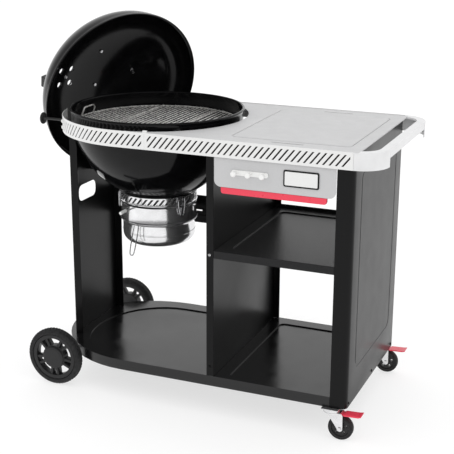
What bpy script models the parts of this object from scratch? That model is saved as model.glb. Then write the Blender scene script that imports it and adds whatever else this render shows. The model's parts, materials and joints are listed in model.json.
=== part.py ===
"""Kettle charcoal grill on a wheeled cart with a side table, lid hung open beside the bowl.

Metres, +Z up, front faces -Y. Places are measured from the kettle's vertical axis and from
a level TREAD_Z under the tyres; the empty "cart_frame" carries both to the part's own frame.
"""
import math

import bmesh
import bpy
from mathutils import Matrix, Vector

# Kettle axis in the part's frame, whose origin is the bottom centre of the bounding box.
KETTLE_AXIS = (-0.1780, -0.0536)

# Clearance between pieces that touch on the real grill.
GAP = 0.0003

# Kettle bowl: outer shell radius, rim bead and depth.
BOWL_R = 0.2835
BOWL_WALL = 0.0025
BOWL_EQUATOR_Z = 0.915
BOWL_DEPTH = 0.291
BOWL_SEGMENTS = 36
BOWL_STEPS = 9
RIM_R = 0.2875
RIM_TOP_Z = 0.930

# Lid: dome on a skirt that drops over the bowl's rim bead.
LID_R = 0.2935
LID_WALL = 0.0025
LID_DOME_R = 0.2885
LID_DOME_RISE = 0.181
LID_SKIRT = 0.014
LID_LEDGE = 0.0095
LID_CLOSED_Z = RIM_TOP_Z - LID_LEDGE + GAP
LID_OPEN_CENTRE = Vector((-0.216, 0.168, 0.935))
LID_OPEN_AZIMUTH = math.radians(57.9)
LID_OPEN_TILT = math.radians(-19.1)

# Cart: front plane, heights and the three uprights.
SHEET = 0.002
CART_FRONT = -0.302
CART_BACK = 0.245
BASE_BOTTOM_Z = 0.113
BASE_TOP_Z = 0.147
BASE_BACK = 0.254
BASE_R = 0.302
BASE_REACH = 0.312
BASE_DECK = 0.0065
POCKET_DEPTH = 0.004
SHELF_BOTTOM_Z = 0.5374
SHELF_TOP_Z = 0.5624
SHELF_LIP_Z = 0.5755
SHELF_BACK = 0.236
DIVIDER_LEFT = 0.3057
DIVIDER_RIGHT = 0.3295
COLUMN_LEFT = 0.712
PANEL_RIGHT = 0.7644
LEG_X = -0.250
LEG_FRONT = -0.152
LEG_BACK = 0.148
LEG_FLANGE = 0.027
LEG_TOP_Z = 0.870

# Work table and the rail around it.
TABLE_TOP_Z = 0.908
TABLE_SHEET = 0.003
TABLE_RIGHT = 0.7725
TABLE_FRONT = -0.308
TABLE_BACK = 0.281
TABLE_CUTOUT_R = 0.300
RAIL_R = 0.312
RAIL_SHEET = 0.002
RAIL_BOTTOM_Z = 0.858
RAIL_TOP_Z = 0.910
RAIL_SEAM_X = 0.105
RAIL_END_X = 0.7605
RAIL_BACK = 0.285
SLOT_PITCH = 0.0191
SLOT_WIDTH = 0.006
SLOT_SLANT = 0.042
SLOT_BOTTOM_Z = 0.866
SLOT_TOP_Z = 0.902
HANDLE_OUTER_X = 0.845
HANDLE_WIDTH = 0.028
HANDLE_BAR_Z = 0.880

# Ash catcher below the bowl.
VENT_RING_R = 0.127
VENT_RING_Z = (0.6494, 0.6534)
COLLAR_R = 0.1285
COLLAR_Z = (0.6195, 0.6490)
COLLAR_SLOTS = 42
COLLAR_LEAN = 0.0239
SHROUD_R = 0.1265
SHROUD_Z = (0.5600, 0.6130)
POT_R = 0.1215
POT_RIM_R = 0.1305
POT_TOP_Z = 0.5590
POT_BOTTOM_Z = 0.474
POT_WALL = 0.002
LEVER_Z = (0.6145, 0.6190)
LEVER_AZIMUTH = math.radians(260.0)
SWEEP_HUB_Z = (0.6295, 0.6415)

# Grates.
GRATE_Z = 0.880
GRATE_R = 0.271
GRATE_WIRE = 0.003
GRATE_CHORD = 0.105
FLAP_CHORD = 0.1125
BAR_PITCH = 0.0175
CHARCOAL_Z = 0.735
CHARCOAL_R = 0.2085

# Wheels and casters. The tyres stand on the floor at TREAD_Z.
TREAD_Z = 0.010
WHEEL_R = 0.0985
WHEEL_X = -0.258
WHEEL_HALF_WIDTH = 0.017
WHEEL_FRONT_Y = -0.2785
WHEEL_REAR_Y = 0.266
WHEEL_Z = TREAD_Z + WHEEL_R
AXLE_R = 0.005
CASTER_R = 0.0395
CASTER_HALF_WIDTH = 0.012
CASTER_X = 0.716
CASTER_FRONT_Y = -0.290
CASTER_REAR_Y = 0.252
CASTER_TRAIL = 0.031
CASTER_Z = TREAD_Z + CASTER_R


def clear_scene():
    for obj in list(bpy.data.objects):
        bpy.data.objects.remove(obj, do_unlink=True)


def material(name, rgb, roughness, metallic):
    mat = bpy.data.materials.new(name)
    mat.use_nodes = True
    shader = mat.node_tree.nodes["Principled BSDF"]
    shader.inputs["Base Color"].default_value = (*rgb, 1.0)
    shader.inputs["Roughness"].default_value = roughness
    shader.inputs["Metallic"].default_value = metallic
    mat.diffuse_color = (*rgb, 1.0)
    return mat


def enamel():
    return material("black_enamel", (0.012, 0.012, 0.013), 0.16, 0.0)


def cart_paint():
    return material("cart_paint", (0.030, 0.030, 0.032), 0.38, 0.0)


def table_paint():
    return material("table_paint", (0.62, 0.62, 0.62), 0.45, 0.0)


def rail_paint():
    return material("rail_paint", (0.80, 0.80, 0.80), 0.40, 0.0)


def accent_paint():
    return material("accent_red", (0.75, 0.045, 0.09), 0.35, 0.0)


def bright_steel():
    return material("bright_steel", (0.72, 0.72, 0.73), 0.14, 1.0)


def plated_wire():
    return material("plated_wire", (0.60, 0.60, 0.61), 0.25, 1.0)


def black_plastic():
    return material("black_plastic", (0.018, 0.018, 0.018), 0.50, 0.0)


def tyre_rubber():
    return material("tyre_rubber", (0.022, 0.022, 0.022), 0.75, 0.0)


def white_plastic():
    return material("white_plastic", (0.82, 0.82, 0.81), 0.40, 0.0)


# ---------------------------------------------------------------- mesh helpers

def add_object(name, bm, mat, parent, matrix=Matrix.Identity(4), sharp_deg=35.0):
    """Turn a bmesh into a named object under a parent, smooth up to the sharp angle."""
    bmesh.ops.recalc_face_normals(bm, faces=bm.faces)
    mesh = bpy.data.meshes.new(name)
    bm.to_mesh(mesh)
    bm.free()
    mesh.materials.append(mat)
    mesh.shade_smooth()
    mesh.set_sharp_from_angle(angle=math.radians(sharp_deg))
    obj = bpy.data.objects.new(name, mesh)
    bpy.context.collection.objects.link(obj)
    obj.parent = parent
    obj.matrix_local = matrix
    return obj


def combine(obj, bm, operation, matrix=Matrix.Identity(4)):
    """Cut or join a tool shape, kept as a hidden wire object, with an exact Boolean."""
    count = len(obj.modifiers)
    tool = add_object(f"{obj.name}_tool{count}", bm, obj.data.materials[0], obj.parent, matrix)
    tool.hide_render = True
    tool.display_type = "WIRE"
    tool.hide_set(True)
    step = obj.modifiers.new(f"{operation.lower()}{count}", "BOOLEAN")
    step.operation = operation
    step.solver = "EXACT"
    step.object = tool
    return tool


def empty(name, parent, location=(0.0, 0.0, 0.0), rotation=None):
    obj = bpy.data.objects.new(name, None)
    bpy.context.collection.objects.link(obj)
    obj.parent = parent
    place = Matrix.Translation(location)
    if rotation is not None:
        place = place @ rotation.to_4x4()
    obj.matrix_local = place
    return obj


def loft(loops, closed=False):
    """Skin equal-length loops of points in order, capping both ends unless closed."""
    bm = bmesh.new()
    rings = [[bm.verts.new(point) for point in loop] for loop in loops]
    pairs = list(zip(rings, rings[1:]))
    if closed:
        pairs.append((rings[-1], rings[0]))
    for low, high in pairs:
        for i in range(len(low)):
            j = (i + 1) % len(low)
            bm.faces.new((low[i], low[j], high[j], high[i]))
    if not closed:
        bm.faces.new(rings[0])
        bm.faces.new(rings[-1])
    return bm


def prism(outline, z0, z1):
    """Vertical prism over a flat outline."""
    return loft([[(x, y, z) for x, y in outline] for z in (z0, z1)])


def box(x0, x1, y0, y1, z0, z1):
    return prism([(x0, y0), (x1, y0), (x1, y1), (x0, y1)], z0, z1)


def revolve(profile, segments, start=0.0):
    """Turn a closed profile of (radius, z) about Z. Points of radius 0 lie on the axis."""
    bm = bmesh.new()
    rings = []
    for radius, z in profile:
        if radius < 1e-9:
            rings.append([bm.verts.new((0.0, 0.0, z))])
            continue
        turn = [start + 2.0 * math.pi * i / segments for i in range(segments)]
        rings.append([bm.verts.new((radius * math.cos(a), radius * math.sin(a), z)) for a in turn])
    for first, second in zip(rings, rings[1:] + rings[:1]):
        if len(first) == 1 and len(second) == 1:
            continue
        for i in range(segments):
            j = (i + 1) % segments
            corners = [first[i % len(first)], first[j % len(first)]]
            corners += [second[j % len(second)], second[i % len(second)]]
            bm.faces.new(list(dict.fromkeys(corners)))
    return bm


def disc(radius, z0, z1, segments=24):
    return revolve([(0.0, z0), (radius, z0), (radius, z1), (0.0, z1)], segments)


def tube(points, radius, sides=8, closed=False):
    """Round wire along a run of points, with frames carried along the path."""
    path = [Vector(p) for p in points]
    count = len(path)
    loops = []
    side = None
    for i, here in enumerate(path):
        before = path[i - 1] if closed or i > 0 else here
        after = path[(i + 1) % count] if closed or i < count - 1 else here
        heading = ((after - here).normalized() + (here - before).normalized()).normalized()
        if side is None:
            guide = Vector((0.0, 0.0, 1.0)) if abs(heading.z) < 0.9 else Vector((1.0, 0.0, 0.0))
            side = heading.cross(guide).normalized()
        side = (side - heading * side.dot(heading)).normalized()
        other = heading.cross(side)
        turn = [2.0 * math.pi * k / sides for k in range(sides)]
        loops.append([here + radius * (math.cos(a) * side + math.sin(a) * other) for a in turn])
    return loft(loops, closed)


def rod(start, end, radius, sides=10):
    return tube([start, end], radius, sides)


def arc(centre, radius, start_deg, end_deg, steps):
    """Points on a circle arc, ends included."""
    points = []
    for i in range(steps + 1):
        a = math.radians(start_deg + (end_deg - start_deg) * i / steps)
        points.append((centre[0] + radius * math.cos(a), centre[1] + radius * math.sin(a)))
    return points


def rounded_box(x0, x1, y0, y1, radius, steps=4):
    """Outline of a rectangle with rounded corners."""
    points = arc((x1 - radius, y0 + radius), radius, -90, 0, steps)
    points += arc((x1 - radius, y1 - radius), radius, 0, 90, steps)
    points += arc((x0 + radius, y1 - radius), radius, 90, 180, steps)
    points += arc((x0 + radius, y0 + radius), radius, 180, 270, steps)
    return points


def folded(path, thickness):
    """Outline of a bent sheet whose left-hand face follows the path."""
    points = [Vector(p) for p in path]
    inner = []
    for i, here in enumerate(points):
        before = (here - points[i - 1]).normalized() if i > 0 else None
        after = (points[i + 1] - here).normalized() if i < len(points) - 1 else None
        first = before if before is not None else after
        second = after if after is not None else before
        normal = Vector((first.y, -first.x)) + Vector((second.y, -second.x))
        normal.normalize()
        spread = max(normal.dot(Vector((first.y, -first.x))), 0.3)
        inner.append(here + normal * (thickness / spread))
    return [tuple(p) for p in points] + [tuple(p) for p in reversed(inner)]


def on_y_axis(x, y, z):
    """Places a shape turned about Z on an axle that runs along Y."""
    return Matrix.Translation((x, y, z)) @ Matrix.Rotation(math.radians(90.0), 4, "X")


def slotted_strip(columns, rows, place, thickness, closed=False):
    """Sheet strip with a hole in the middle row of every odd column.

    columns holds (run at the bottom row, run at the top row), rows holds four heights, and
    place(run, z, depth) gives the point at a distance behind the strip's face.
    """
    bm = bmesh.new()
    span = rows[-1] - rows[0]
    grid = []
    for depth in (0.0, thickness):
        sheet = []
        for low, high in columns:
            line = []
            for z in rows:
                run = low + (high - low) * (z - rows[0]) / span
                line.append(bm.verts.new(place(run, z, depth)))
            sheet.append(line)
        grid.append(sheet)
    count = len(columns)
    last = count if closed else count - 1

    def solid(col, row):
        if not 0 <= row <= 2:
            return False
        if closed:
            col = col % count
        elif not 0 <= col < count - 1:
            return False
        return not (row == 1 and col % 2 == 1)

    def wall(a, b):
        bm.faces.new((grid[0][a[0]][a[1]], grid[0][b[0]][b[1]], grid[1][b[0]][b[1]], grid[1][a[0]][a[1]]))

    for col in range(last):
        right = (col + 1) % count
        for row in range(3):
            if not solid(col, row):
                continue
            for sheet in grid:
                bm.faces.new((sheet[col][row], sheet[right][row], sheet[right][row + 1], sheet[col][row + 1]))
            if not solid(col, row - 1):
                wall((col, row), (right, row))
            if not solid(col, row + 1):
                wall((col, row + 1), (right, row + 1))
            if not solid(col - 1, row):
                wall((col, row), (col, row + 1))
            if not solid(col + 1, row):
                wall((right, row), (right, row + 1))
    return bm


def slot_columns(start, length, slots, width, slant):
    """Run values of a strip with evenly spaced slanted slots and plain ends."""
    pitch = (length - slant) / slots
    columns = [(start, start)]
    for i in range(slots):
        low = start + pitch * i + (pitch - width) / 2.0
        columns.append((low, low + slant))
        columns.append((low + width, low + width + slant))
    columns.append((start + length, start + length))
    return columns


# ---------------------------------------------------------------- kettle

def bowl_profile(offset, from_deg, to_deg, steps):
    """Bowl meridian at an offset from the outer surface, from the equator down."""
    points = []
    for i in range(steps + 1):
        a = math.radians(from_deg + (to_deg - from_deg) * i / steps)
        points.append(((BOWL_R + offset) * math.cos(a), BOWL_EQUATOR_Z - (BOWL_DEPTH + offset) * math.sin(a)))
    return points


def bowl_space(offset):
    """Solid that fills the bowl and everything above it, used to keep neighbours clear."""
    profile = [(0.0, 1.0), (RIM_R + offset, 1.0), (RIM_R + offset, BOWL_EQUATOR_Z + 0.001)]
    profile += bowl_profile(offset, 0, 88.4, BOWL_STEPS)
    profile.append((0.0, BOWL_EQUATOR_Z - BOWL_DEPTH - offset))
    return revolve(profile, BOWL_SEGMENTS)


def build_bowl(frame, mat):
    outer = bowl_profile(0.0, 0, 88.4, BOWL_STEPS)
    inner = bowl_profile(-BOWL_WALL, 88.4, 0, BOWL_STEPS)
    bead = [(RIM_R - 0.0065, RIM_TOP_Z - 0.002), (RIM_R - 0.004, RIM_TOP_Z)]
    bead += [(RIM_R - 0.001, RIM_TOP_Z), (RIM_R, RIM_TOP_Z - 0.003), (RIM_R, BOWL_EQUATOR_Z + 0.002)]
    bowl = add_object("bowl", revolve(outer + inner + bead, BOWL_SEGMENTS), mat, frame)
    for i in range(3):
        middle = 120.0 * i + 33.0
        outline = arc((0.0, 0.0), 0.095, middle - 31, middle + 31, 4)
        outline += arc((0.0, 0.0), 0.045, middle + 27, middle - 27, 2)
        combine(bowl, prism(outline, 0.60, 0.72), "DIFFERENCE")
    for i in range(4):
        turn = Matrix.Rotation(math.radians(45.0 + 90.0 * i), 4, "Z")
        tab = box(0.264, 0.2812, -0.010, 0.010, GRATE_Z - GRATE_WIRE - 0.0045, GRATE_Z - GRATE_WIRE - GAP)
        combine(bowl, tab, "UNION", turn)
        tab = box(0.200, 0.2122, -0.008, 0.008, CHARCOAL_Z - 0.0078, CHARCOAL_Z - 0.0038)
        combine(bowl, tab, "UNION", turn)


def grate_outline(chord_left, chord_right, steps):
    """Perimeter of a slice of the round grate between two chords parallel to Y."""
    def angle(x):
        return math.degrees(math.acos(max(-1.0, min(1.0, x / GRATE_R))))
    points = arc((0.0, 0.0), GRATE_R, angle(chord_right), angle(chord_left), steps)
    points += arc((0.0, 0.0), GRATE_R, 360.0 - angle(chord_left), 360.0 - angle(chord_right), steps)
    return points


def parallel_bars(xs, radius_out, z, wire):
    """Bars along Y that end on the perimeter wire, as one tool of separate bars."""
    bm = bmesh.new()
    for x in xs:
        half = math.sqrt(radius_out ** 2 - x ** 2)
        bar = rod((x, -half, z), (x, half, z), wire, 5)
        mesh = bpy.data.meshes.new("bar")
        bar.to_mesh(mesh)
        bar.free()
        bm.from_mesh(mesh)
        bpy.data.meshes.remove(mesh)
    return bm


def spaced(first, last, pitch):
    """Evenly spaced values strictly between two ends, as near the pitch as fits."""
    count = max(1, round((last - first) / pitch) - 1)
    return [first + (last - first) * (i + 1) / (count + 1) for i in range(count)]


def build_cooking_grate(frame, mat):
    outline = [(x, y, GRATE_Z) for x, y in grate_outline(-GRATE_CHORD, GRATE_CHORD, 8)]
    centre = add_object("cooking_grate", tube(outline, GRATE_WIRE, 5, True), mat, frame)
    xs = spaced(-GRATE_CHORD, GRATE_CHORD, BAR_PITCH)
    combine(centre, parallel_bars(xs, GRATE_R, GRATE_Z, 0.0024), "UNION")
    brace = rod((-GRATE_CHORD, 0.0, GRATE_Z - 0.004), (GRATE_CHORD, 0.0, GRATE_Z - 0.004), GRATE_WIRE, 6)
    combine(centre, brace, "UNION")
    for side, sign in (("left", -1.0), ("right", 1.0)):
        hinge = empty(f"flap_{side}_hinge", frame, (sign * GRATE_CHORD, 0.0, GRATE_Z))
        shift = Matrix.Translation((-sign * GRATE_CHORD, 0.0, -GRATE_Z))
        half = math.sqrt(GRATE_R ** 2 - FLAP_CHORD ** 2)
        swing = math.degrees(math.atan2(half, FLAP_CHORD))
        middle = 0.0 if sign > 0 else 180.0
        rim = arc((0.0, 0.0), GRATE_R, middle - swing, middle + swing, 12)
        path = [(x, y, GRATE_Z) for x, y in rim]
        flap = add_object(f"grate_flap_{side}", tube(path, GRATE_WIRE, 5, True), mat, hinge, shift)
        xs = [sign * x for x in spaced(FLAP_CHORD, GRATE_R - 0.010, BAR_PITCH)]
        combine(flap, parallel_bars(xs, GRATE_R, GRATE_Z, 0.0024), "UNION", shift)
        grip = 0.040
        foot = sign * math.sqrt(GRATE_R ** 2 - grip ** 2)
        reach = foot - sign * 0.010
        loop = [(foot, -grip, GRATE_Z), (reach, -grip, GRATE_Z + 0.018)]
        loop.append((reach, -grip + 0.010, GRATE_Z + 0.030))
        loop += [(x, -y, z) for x, y, z in reversed(loop)]
        combine(flap, tube(loop, 0.0026, 6), "UNION", shift)


def build_charcoal_grate(frame, mat):
    ring = [(x, y, CHARCOAL_Z) for x, y in arc((0.0, 0.0), CHARCOAL_R, 0, 352.5, 47)[::2]]
    grate = add_object("charcoal_grate", tube(ring, 0.0035, 5, True), mat, frame)
    xs = spaced(-CHARCOAL_R, CHARCOAL_R, 0.036)
    combine(grate, parallel_bars(xs, CHARCOAL_R, CHARCOAL_Z, 0.003), "UNION")
    brace = rod((-CHARCOAL_R, 0.0, CHARCOAL_Z - 0.004), (CHARCOAL_R, 0.0, CHARCOAL_Z - 0.004), 0.003, 6)
    combine(grate, brace, "UNION")


def build_ash_sweep(frame, steel, grip):
    """Three bowed blades on the shaft, and the lever that turns them from outside."""
    low, high = SWEEP_HUB_Z
    shaft = revolve([(0.0, LEVER_Z[0]), (0.006, LEVER_Z[0]), (0.006, low), (0.016, low), (0.016, high),
                     (0.0, high)], 16)
    sweep = add_object("ash_sweep", shaft, steel, frame)
    for i in range(3):
        inside = [(r, z) for r, z in bowl_profile(-BOWL_WALL - 0.0015, 87.5, 55, 6)]
        blade = inside + [(r, z + 0.010) for r, z in reversed(inside)]
        loops = [[(r, y, z) for r, z in blade] for y in (-0.0015, 0.0015)]
        turn = Matrix.Rotation(math.radians(120.0 * i - 30.0), 4, "Z")
        combine(sweep, loft(loops), "UNION", turn)
    turn = Matrix.Rotation(LEVER_AZIMUTH, 4, "Z")
    arm = box(0.0064, 0.182, -0.006, 0.006, LEVER_Z[0], LEVER_Z[1] - 0.003)
    add_object("sweep_lever", arm, steel, frame, turn)
    middle = LEVER_Z[0] + 0.0015
    knob = tube([(0.1823, 0.0, middle), (0.188, 0.0, middle), (0.202, 0.0, middle - 0.001),
                 (0.212, 0.0, middle - 0.003)], 0.0055, 10)
    add_object("sweep_lever_grip", knob, grip, frame, turn)


def ring_place(radius):
    """Maps a run along a circle to points on it, outer face first."""
    def place(run, z, depth):
        a = run / radius
        return ((radius - depth) * math.cos(a), (radius - depth) * math.sin(a), z)
    return place


def build_collar(frame, chrome, black):
    pitch = 2.0 * math.pi * COLLAR_R / COLLAR_SLOTS
    columns = []
    for i in range(COLLAR_SLOTS):
        for edge in (pitch * i, pitch * (i + 0.54)):
            columns.append((edge, edge + COLLAR_LEAN))
    rows = (COLLAR_Z[0], COLLAR_Z[0] + 0.0055, COLLAR_Z[1] - 0.0050, COLLAR_Z[1])
    add_object("ash_collar", slotted_strip(columns, rows, ring_place(COLLAR_R), 0.0015, True), chrome, frame)
    low, high = VENT_RING_Z
    inner = VENT_RING_R - 0.002
    profile = [(inner, high), (VENT_RING_R, high), (VENT_RING_R, low), (inner, low)]
    add_object("vent_ring", revolve(profile, BOWL_SEGMENTS), black, frame)


def build_ash_pot(frame, chrome, wire):
    """Shroud and the pot under it, which come down together, with the pot's long wire handle."""
    lift = empty("ash_pot_lift", frame)
    low, high = SHROUD_Z
    wall = [(SHROUD_R - 0.0015, high), (SHROUD_R, high), (SHROUD_R, low), (SHROUD_R - 0.0015, low)]
    add_object("ash_shroud", revolve(wall, 32), chrome, lift)
    corner = 0.034
    outer = [(POT_RIM_R, POT_TOP_Z), (POT_RIM_R, POT_TOP_Z - 0.0025), (POT_R, POT_TOP_Z - 0.010)]
    outer += [(x, z) for x, z in arc((POT_R - corner, POT_BOTTOM_Z + corner), corner, 0, -90, 4)]
    outer.append((0.0, POT_BOTTOM_Z))
    inner = [(0.0, POT_BOTTOM_Z + POT_WALL)]
    inner += [(x, z) for x, z in arc((POT_R - corner, POT_BOTTOM_Z + corner), corner - POT_WALL, -90, 0, 4)]
    inner.append((POT_R - POT_WALL, POT_TOP_Z))
    add_object("ash_pot", revolve(outer + inner, 32), chrome, lift)
    azimuth = math.radians(262.0)
    pivot = Vector((math.cos(azimuth), math.sin(azimuth), 0.0)) * (POT_RIM_R + 0.0026)
    pivot.z = POT_TOP_Z - 0.0012
    turn = Matrix.Rotation(azimuth - math.pi / 2.0, 3, "Z")
    hinge = empty("pot_handle_hinge", lift, pivot, turn)
    loop = [(-0.0060, 0.0, 0.0), (-0.0096, 0.002, -0.010)]
    loop += [(-0.0096, 0.029, -0.088), (-0.0050, 0.0325, -0.098)]
    loop += [(-x, y, z) for x, y, z in reversed(loop)]
    add_object("pot_handle", tube(loop, 0.0022, 6, True), wire, hinge)


def build_clamps(frame, wire):
    """Two over-centre wire clamps that hang from the collar and hold the shroud up."""
    for side, azimuth_deg in (("left", 200.0), ("right", -30.0)):
        azimuth = math.radians(azimuth_deg)
        pivot = Vector((math.cos(azimuth), math.sin(azimuth), 0.0)) * (COLLAR_R + 0.0036)
        pivot.z = 0.6465
        turn = Matrix.Rotation(azimuth - math.pi / 2.0, 3, "Z")
        hinge = empty(f"pot_clamp_{side}_hinge", frame, pivot, turn)
        half = 0.013
        loop = [(-half, 0.001, 0.0), (-half, 0.0015, -0.026), (-half + 0.006, 0.002, -0.053)]
        loop += [(-0.004, 0.002, -0.060)]
        loop += [(-x, y, z) for x, y, z in reversed(loop)]
        add_object(f"pot_clamp_{side}", tube(loop, 0.0022, 6, True), wire, hinge)


# ---------------------------------------------------------------- lid

def lid_turn():
    """Pivot, unit axis and angle of the single turn that closes the hung lid onto the bowl."""
    facing = Vector((math.sin(LID_OPEN_AZIMUTH) * math.cos(LID_OPEN_TILT),
                     -math.cos(LID_OPEN_AZIMUTH) * math.cos(LID_OPEN_TILT),
                     math.sin(LID_OPEN_TILT)))
    down = Vector((0.0, 0.0, -1.0))
    closed = Vector((0.0, 0.0, LID_CLOSED_Z))
    shift = LID_OPEN_CENTRE - closed
    axis = shift.cross(facing - down).normalized()
    flat_a = (facing - axis * facing.dot(axis)).normalized()
    flat_b = (down - axis * down.dot(axis)).normalized()
    angle = math.atan2(axis.dot(flat_a.cross(flat_b)), flat_a.dot(flat_b))
    middle = (LID_OPEN_CENTRE + closed) / 2.0
    across = axis.cross(closed - LID_OPEN_CENTRE).normalized()
    pivot = middle + across * ((closed - LID_OPEN_CENTRE).length / 2.0 / math.tan(angle / 2.0))
    return pivot, axis, angle


def lid_place():
    """Matrix from the closed lid's own frame, z=0 at its lower edge, to the hung position."""
    pivot, axis, angle = lid_turn()
    back = Matrix.Rotation(-angle, 4, axis)
    about = Matrix.Translation(pivot) @ back @ Matrix.Translation(-pivot)
    return about @ Matrix.Translation((0.0, 0.0, LID_CLOSED_Z))


def dome_height(radius):
    """Height of the lid's outer surface above its lower edge."""
    return LID_SKIRT + LID_DOME_RISE * math.sqrt(1.0 - (radius / LID_DOME_R) ** 2)


def dome_frame(radius, azimuth_deg, lift=0.0):
    """Frame on the dome, +Z out of the lid and +X away from its crown."""
    steep = LID_DOME_RISE * radius / (LID_DOME_R ** 2 * math.sqrt(1.0 - (radius / LID_DOME_R) ** 2))
    spin = Matrix.Rotation(math.radians(azimuth_deg), 4, "Z")
    lean = Matrix.Rotation(math.atan(steep), 4, "Y")
    seat = spin @ Matrix.Translation((radius, 0.0, dome_height(radius))) @ lean
    return seat @ Matrix.Translation((0.0, 0.0, lift))


DAMPER_RADIUS = 0.138
DAMPER_AZIMUTH = 221.0
DAMPER_HOLES = 0.0375
DAMPER_HOLE_R = 0.0115
DAMPER_TURN = 55.0
DIAL_AZIMUTH = 52.0
HANDLE_AZIMUTH = 140.0


def build_lid(lid, mat, grip, steel):
    outer = [(LID_R, 0.0), (LID_R, 0.010), (LID_DOME_R, LID_SKIRT)]
    inner_r = LID_DOME_R - LID_WALL
    rise = LID_DOME_RISE - LID_WALL
    angles = [math.radians(a) for a in (8, 19, 31, 44, 58, 74)]
    outer += [(LID_DOME_R * math.cos(a), LID_SKIRT + LID_DOME_RISE * math.sin(a)) for a in angles]
    outer.append((0.0, LID_SKIRT + LID_DOME_RISE))
    inner = [(0.0, LID_SKIRT + rise)]
    inner += [(inner_r * math.cos(a), LID_SKIRT + rise * math.sin(a)) for a in reversed(angles)]
    inner += [(inner_r - 0.001, LID_LEDGE), (LID_R - LID_WALL, LID_LEDGE), (LID_R - LID_WALL, 0.0)]
    shell = add_object("lid_shell", revolve(outer + inner, BOWL_SEGMENTS), mat, lid)
    seat = dome_frame(DAMPER_RADIUS, DAMPER_AZIMUTH)
    for i in range(4):
        a = math.radians(DAMPER_TURN + 90.0 * i)
        spot = Matrix.Translation((DAMPER_HOLES * math.cos(a), DAMPER_HOLES * math.sin(a), 0.0))
        combine(shell, disc(DAMPER_HOLE_R, -0.02, 0.02, 10), "DIFFERENCE", seat @ spot)
    combine(shell, disc(0.0045, -0.02, 0.02, 10), "DIFFERENCE", seat)
    dial_seat = dome_frame(0.135, DIAL_AZIMUTH)
    combine(shell, disc(0.0050, -0.02, 0.02, 10), "DIFFERENCE", dial_seat)
    dial = revolve([(0.0, -0.030), (0.0040, -0.030), (0.0040, 0.0032), (0.022, 0.0032), (0.024, 0.006),
                    (0.024, 0.011), (0.021, 0.013), (0.0, 0.013)], 18)
    add_object("lid_thermometer", dial, steel, lid, dial_seat)
    build_lid_handle(lid, grip, steel)


def build_lid_handle(lid, grip, steel):
    top = LID_SKIRT + LID_DOME_RISE
    turn = Matrix.Rotation(math.radians(HANDLE_AZIMUTH), 4, "Z")
    shield_profile = [(-0.080, top - 0.004), (-0.055, top - 0.0005), (-0.044, top + 0.016)]
    shield_profile += [(-x, z) for x, z in reversed(shield_profile)]
    under = [(x * 0.985, z - 0.0015) for x, z in reversed(shield_profile)]
    loops = [[(x, y, z + 0.004) for x, z in shield_profile + under] for y in (-0.020, 0.020)]
    add_object("lid_handle_shield", loft(loops), steel, lid, turn)
    lift = top + 0.026
    path = [(-0.066, 0.0, top + 0.0040), (-0.066, 0.0, lift + 0.008), (-0.050, 0.0, lift + 0.026)]
    path += [(-x, y, z) for x, y, z in reversed(path)]
    add_object("lid_handle", tube(path, 0.0085, 10), grip, lid, turn)


def build_damper(lid, steel, grip):
    """Rotating disc over four holes, with its finger grip at the disc's edge."""
    seat = dome_frame(DAMPER_RADIUS, DAMPER_AZIMUTH, 0.004)
    swivel = empty("lid_damper_swivel", lid)
    swivel.matrix_local = seat
    plate = add_object("lid_damper", disc(0.0565, 0.0, 0.0015, 28), steel, swivel)
    for i in range(4):
        a = math.radians(DAMPER_TURN + 90.0 * i)
        spot = Matrix.Translation((DAMPER_HOLES * math.cos(a), DAMPER_HOLES * math.sin(a), 0.0))
        combine(plate, disc(DAMPER_HOLE_R, -0.01, 0.01, 10), "DIFFERENCE", spot)
    combine(plate, disc(0.004, -0.012, 0.004, 10), "UNION")
    handle = tube([(0.036, 0.0, 0.0105), (0.058, 0.0, 0.012), (0.066, 0.0, 0.014)], 0.007, 10)
    knob = add_object("lid_damper_grip", handle, grip, swivel)
    combine(knob, box(0.064, 0.086, -0.020, 0.020, 0.004, 0.028), "UNION")


# ---------------------------------------------------------------- cart

def round_end(centre, reach, front, back, power, steps):
    """Left end of the base as two curved quarters, from the front round to the back."""
    points = []
    for i in range(steps + 1):
        a = math.radians(90.0 * i / steps)
        points.append((centre[0] - reach * math.sin(a), centre[1] - front * math.cos(a)))
    for i in range(1, steps + 1):
        a = math.radians(90.0 * i / steps)
        x = centre[0] - reach * math.cos(a) ** (2.0 / power)
        points.append((x, centre[1] + back * math.sin(a) ** (2.0 / power)))
    return points


def base_outline(inset):
    """Base edge: round left end, straight front and back, right end inside the side panel."""
    end = COLUMN_LEFT - 0.0005 - inset
    points = [(end, -BASE_R + inset)]
    points += round_end((0.0, 0.0), BASE_REACH - inset, BASE_R - inset, BASE_BACK - inset, 2.0, 12)
    points += [(end, BASE_BACK - inset), (end, 0.2395 - inset), (0.762 - inset, 0.2395 - inset)]
    points += [(0.762 - inset, -0.2795 + inset), (end, -0.2795 + inset)]
    return points


def build_base(frame, mat):
    base = add_object("base_shelf", prism(base_outline(0.0), BASE_BOTTOM_Z, BASE_TOP_Z), mat, frame)
    under = prism(base_outline(0.0025), BASE_BOTTOM_Z - 0.01, BASE_TOP_Z - BASE_DECK)
    combine(base, under, "DIFFERENCE")
    pocket = [(0.284, -0.287)] + round_end((0.0, -0.050), 0.215, 0.237, 0.250, 2.0, 10) + [(0.284, 0.200)]
    combine(base, prism(pocket, BASE_TOP_Z - POCKET_DEPTH, BASE_TOP_Z + 0.01), "DIFFERENCE")
    right = rounded_box(0.372, 0.690, -0.280, 0.206, 0.020)
    combine(base, prism(right, BASE_TOP_Z - POCKET_DEPTH, BASE_TOP_Z + 0.01), "DIFFERENCE")
    notch = disc(AXLE_R + 0.0012, 0.0, WHEEL_REAR_Y - WHEEL_FRONT_Y, 14)
    combine(base, notch, "DIFFERENCE", on_y_axis(WHEEL_X, WHEEL_REAR_Y, WHEEL_Z))


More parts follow.
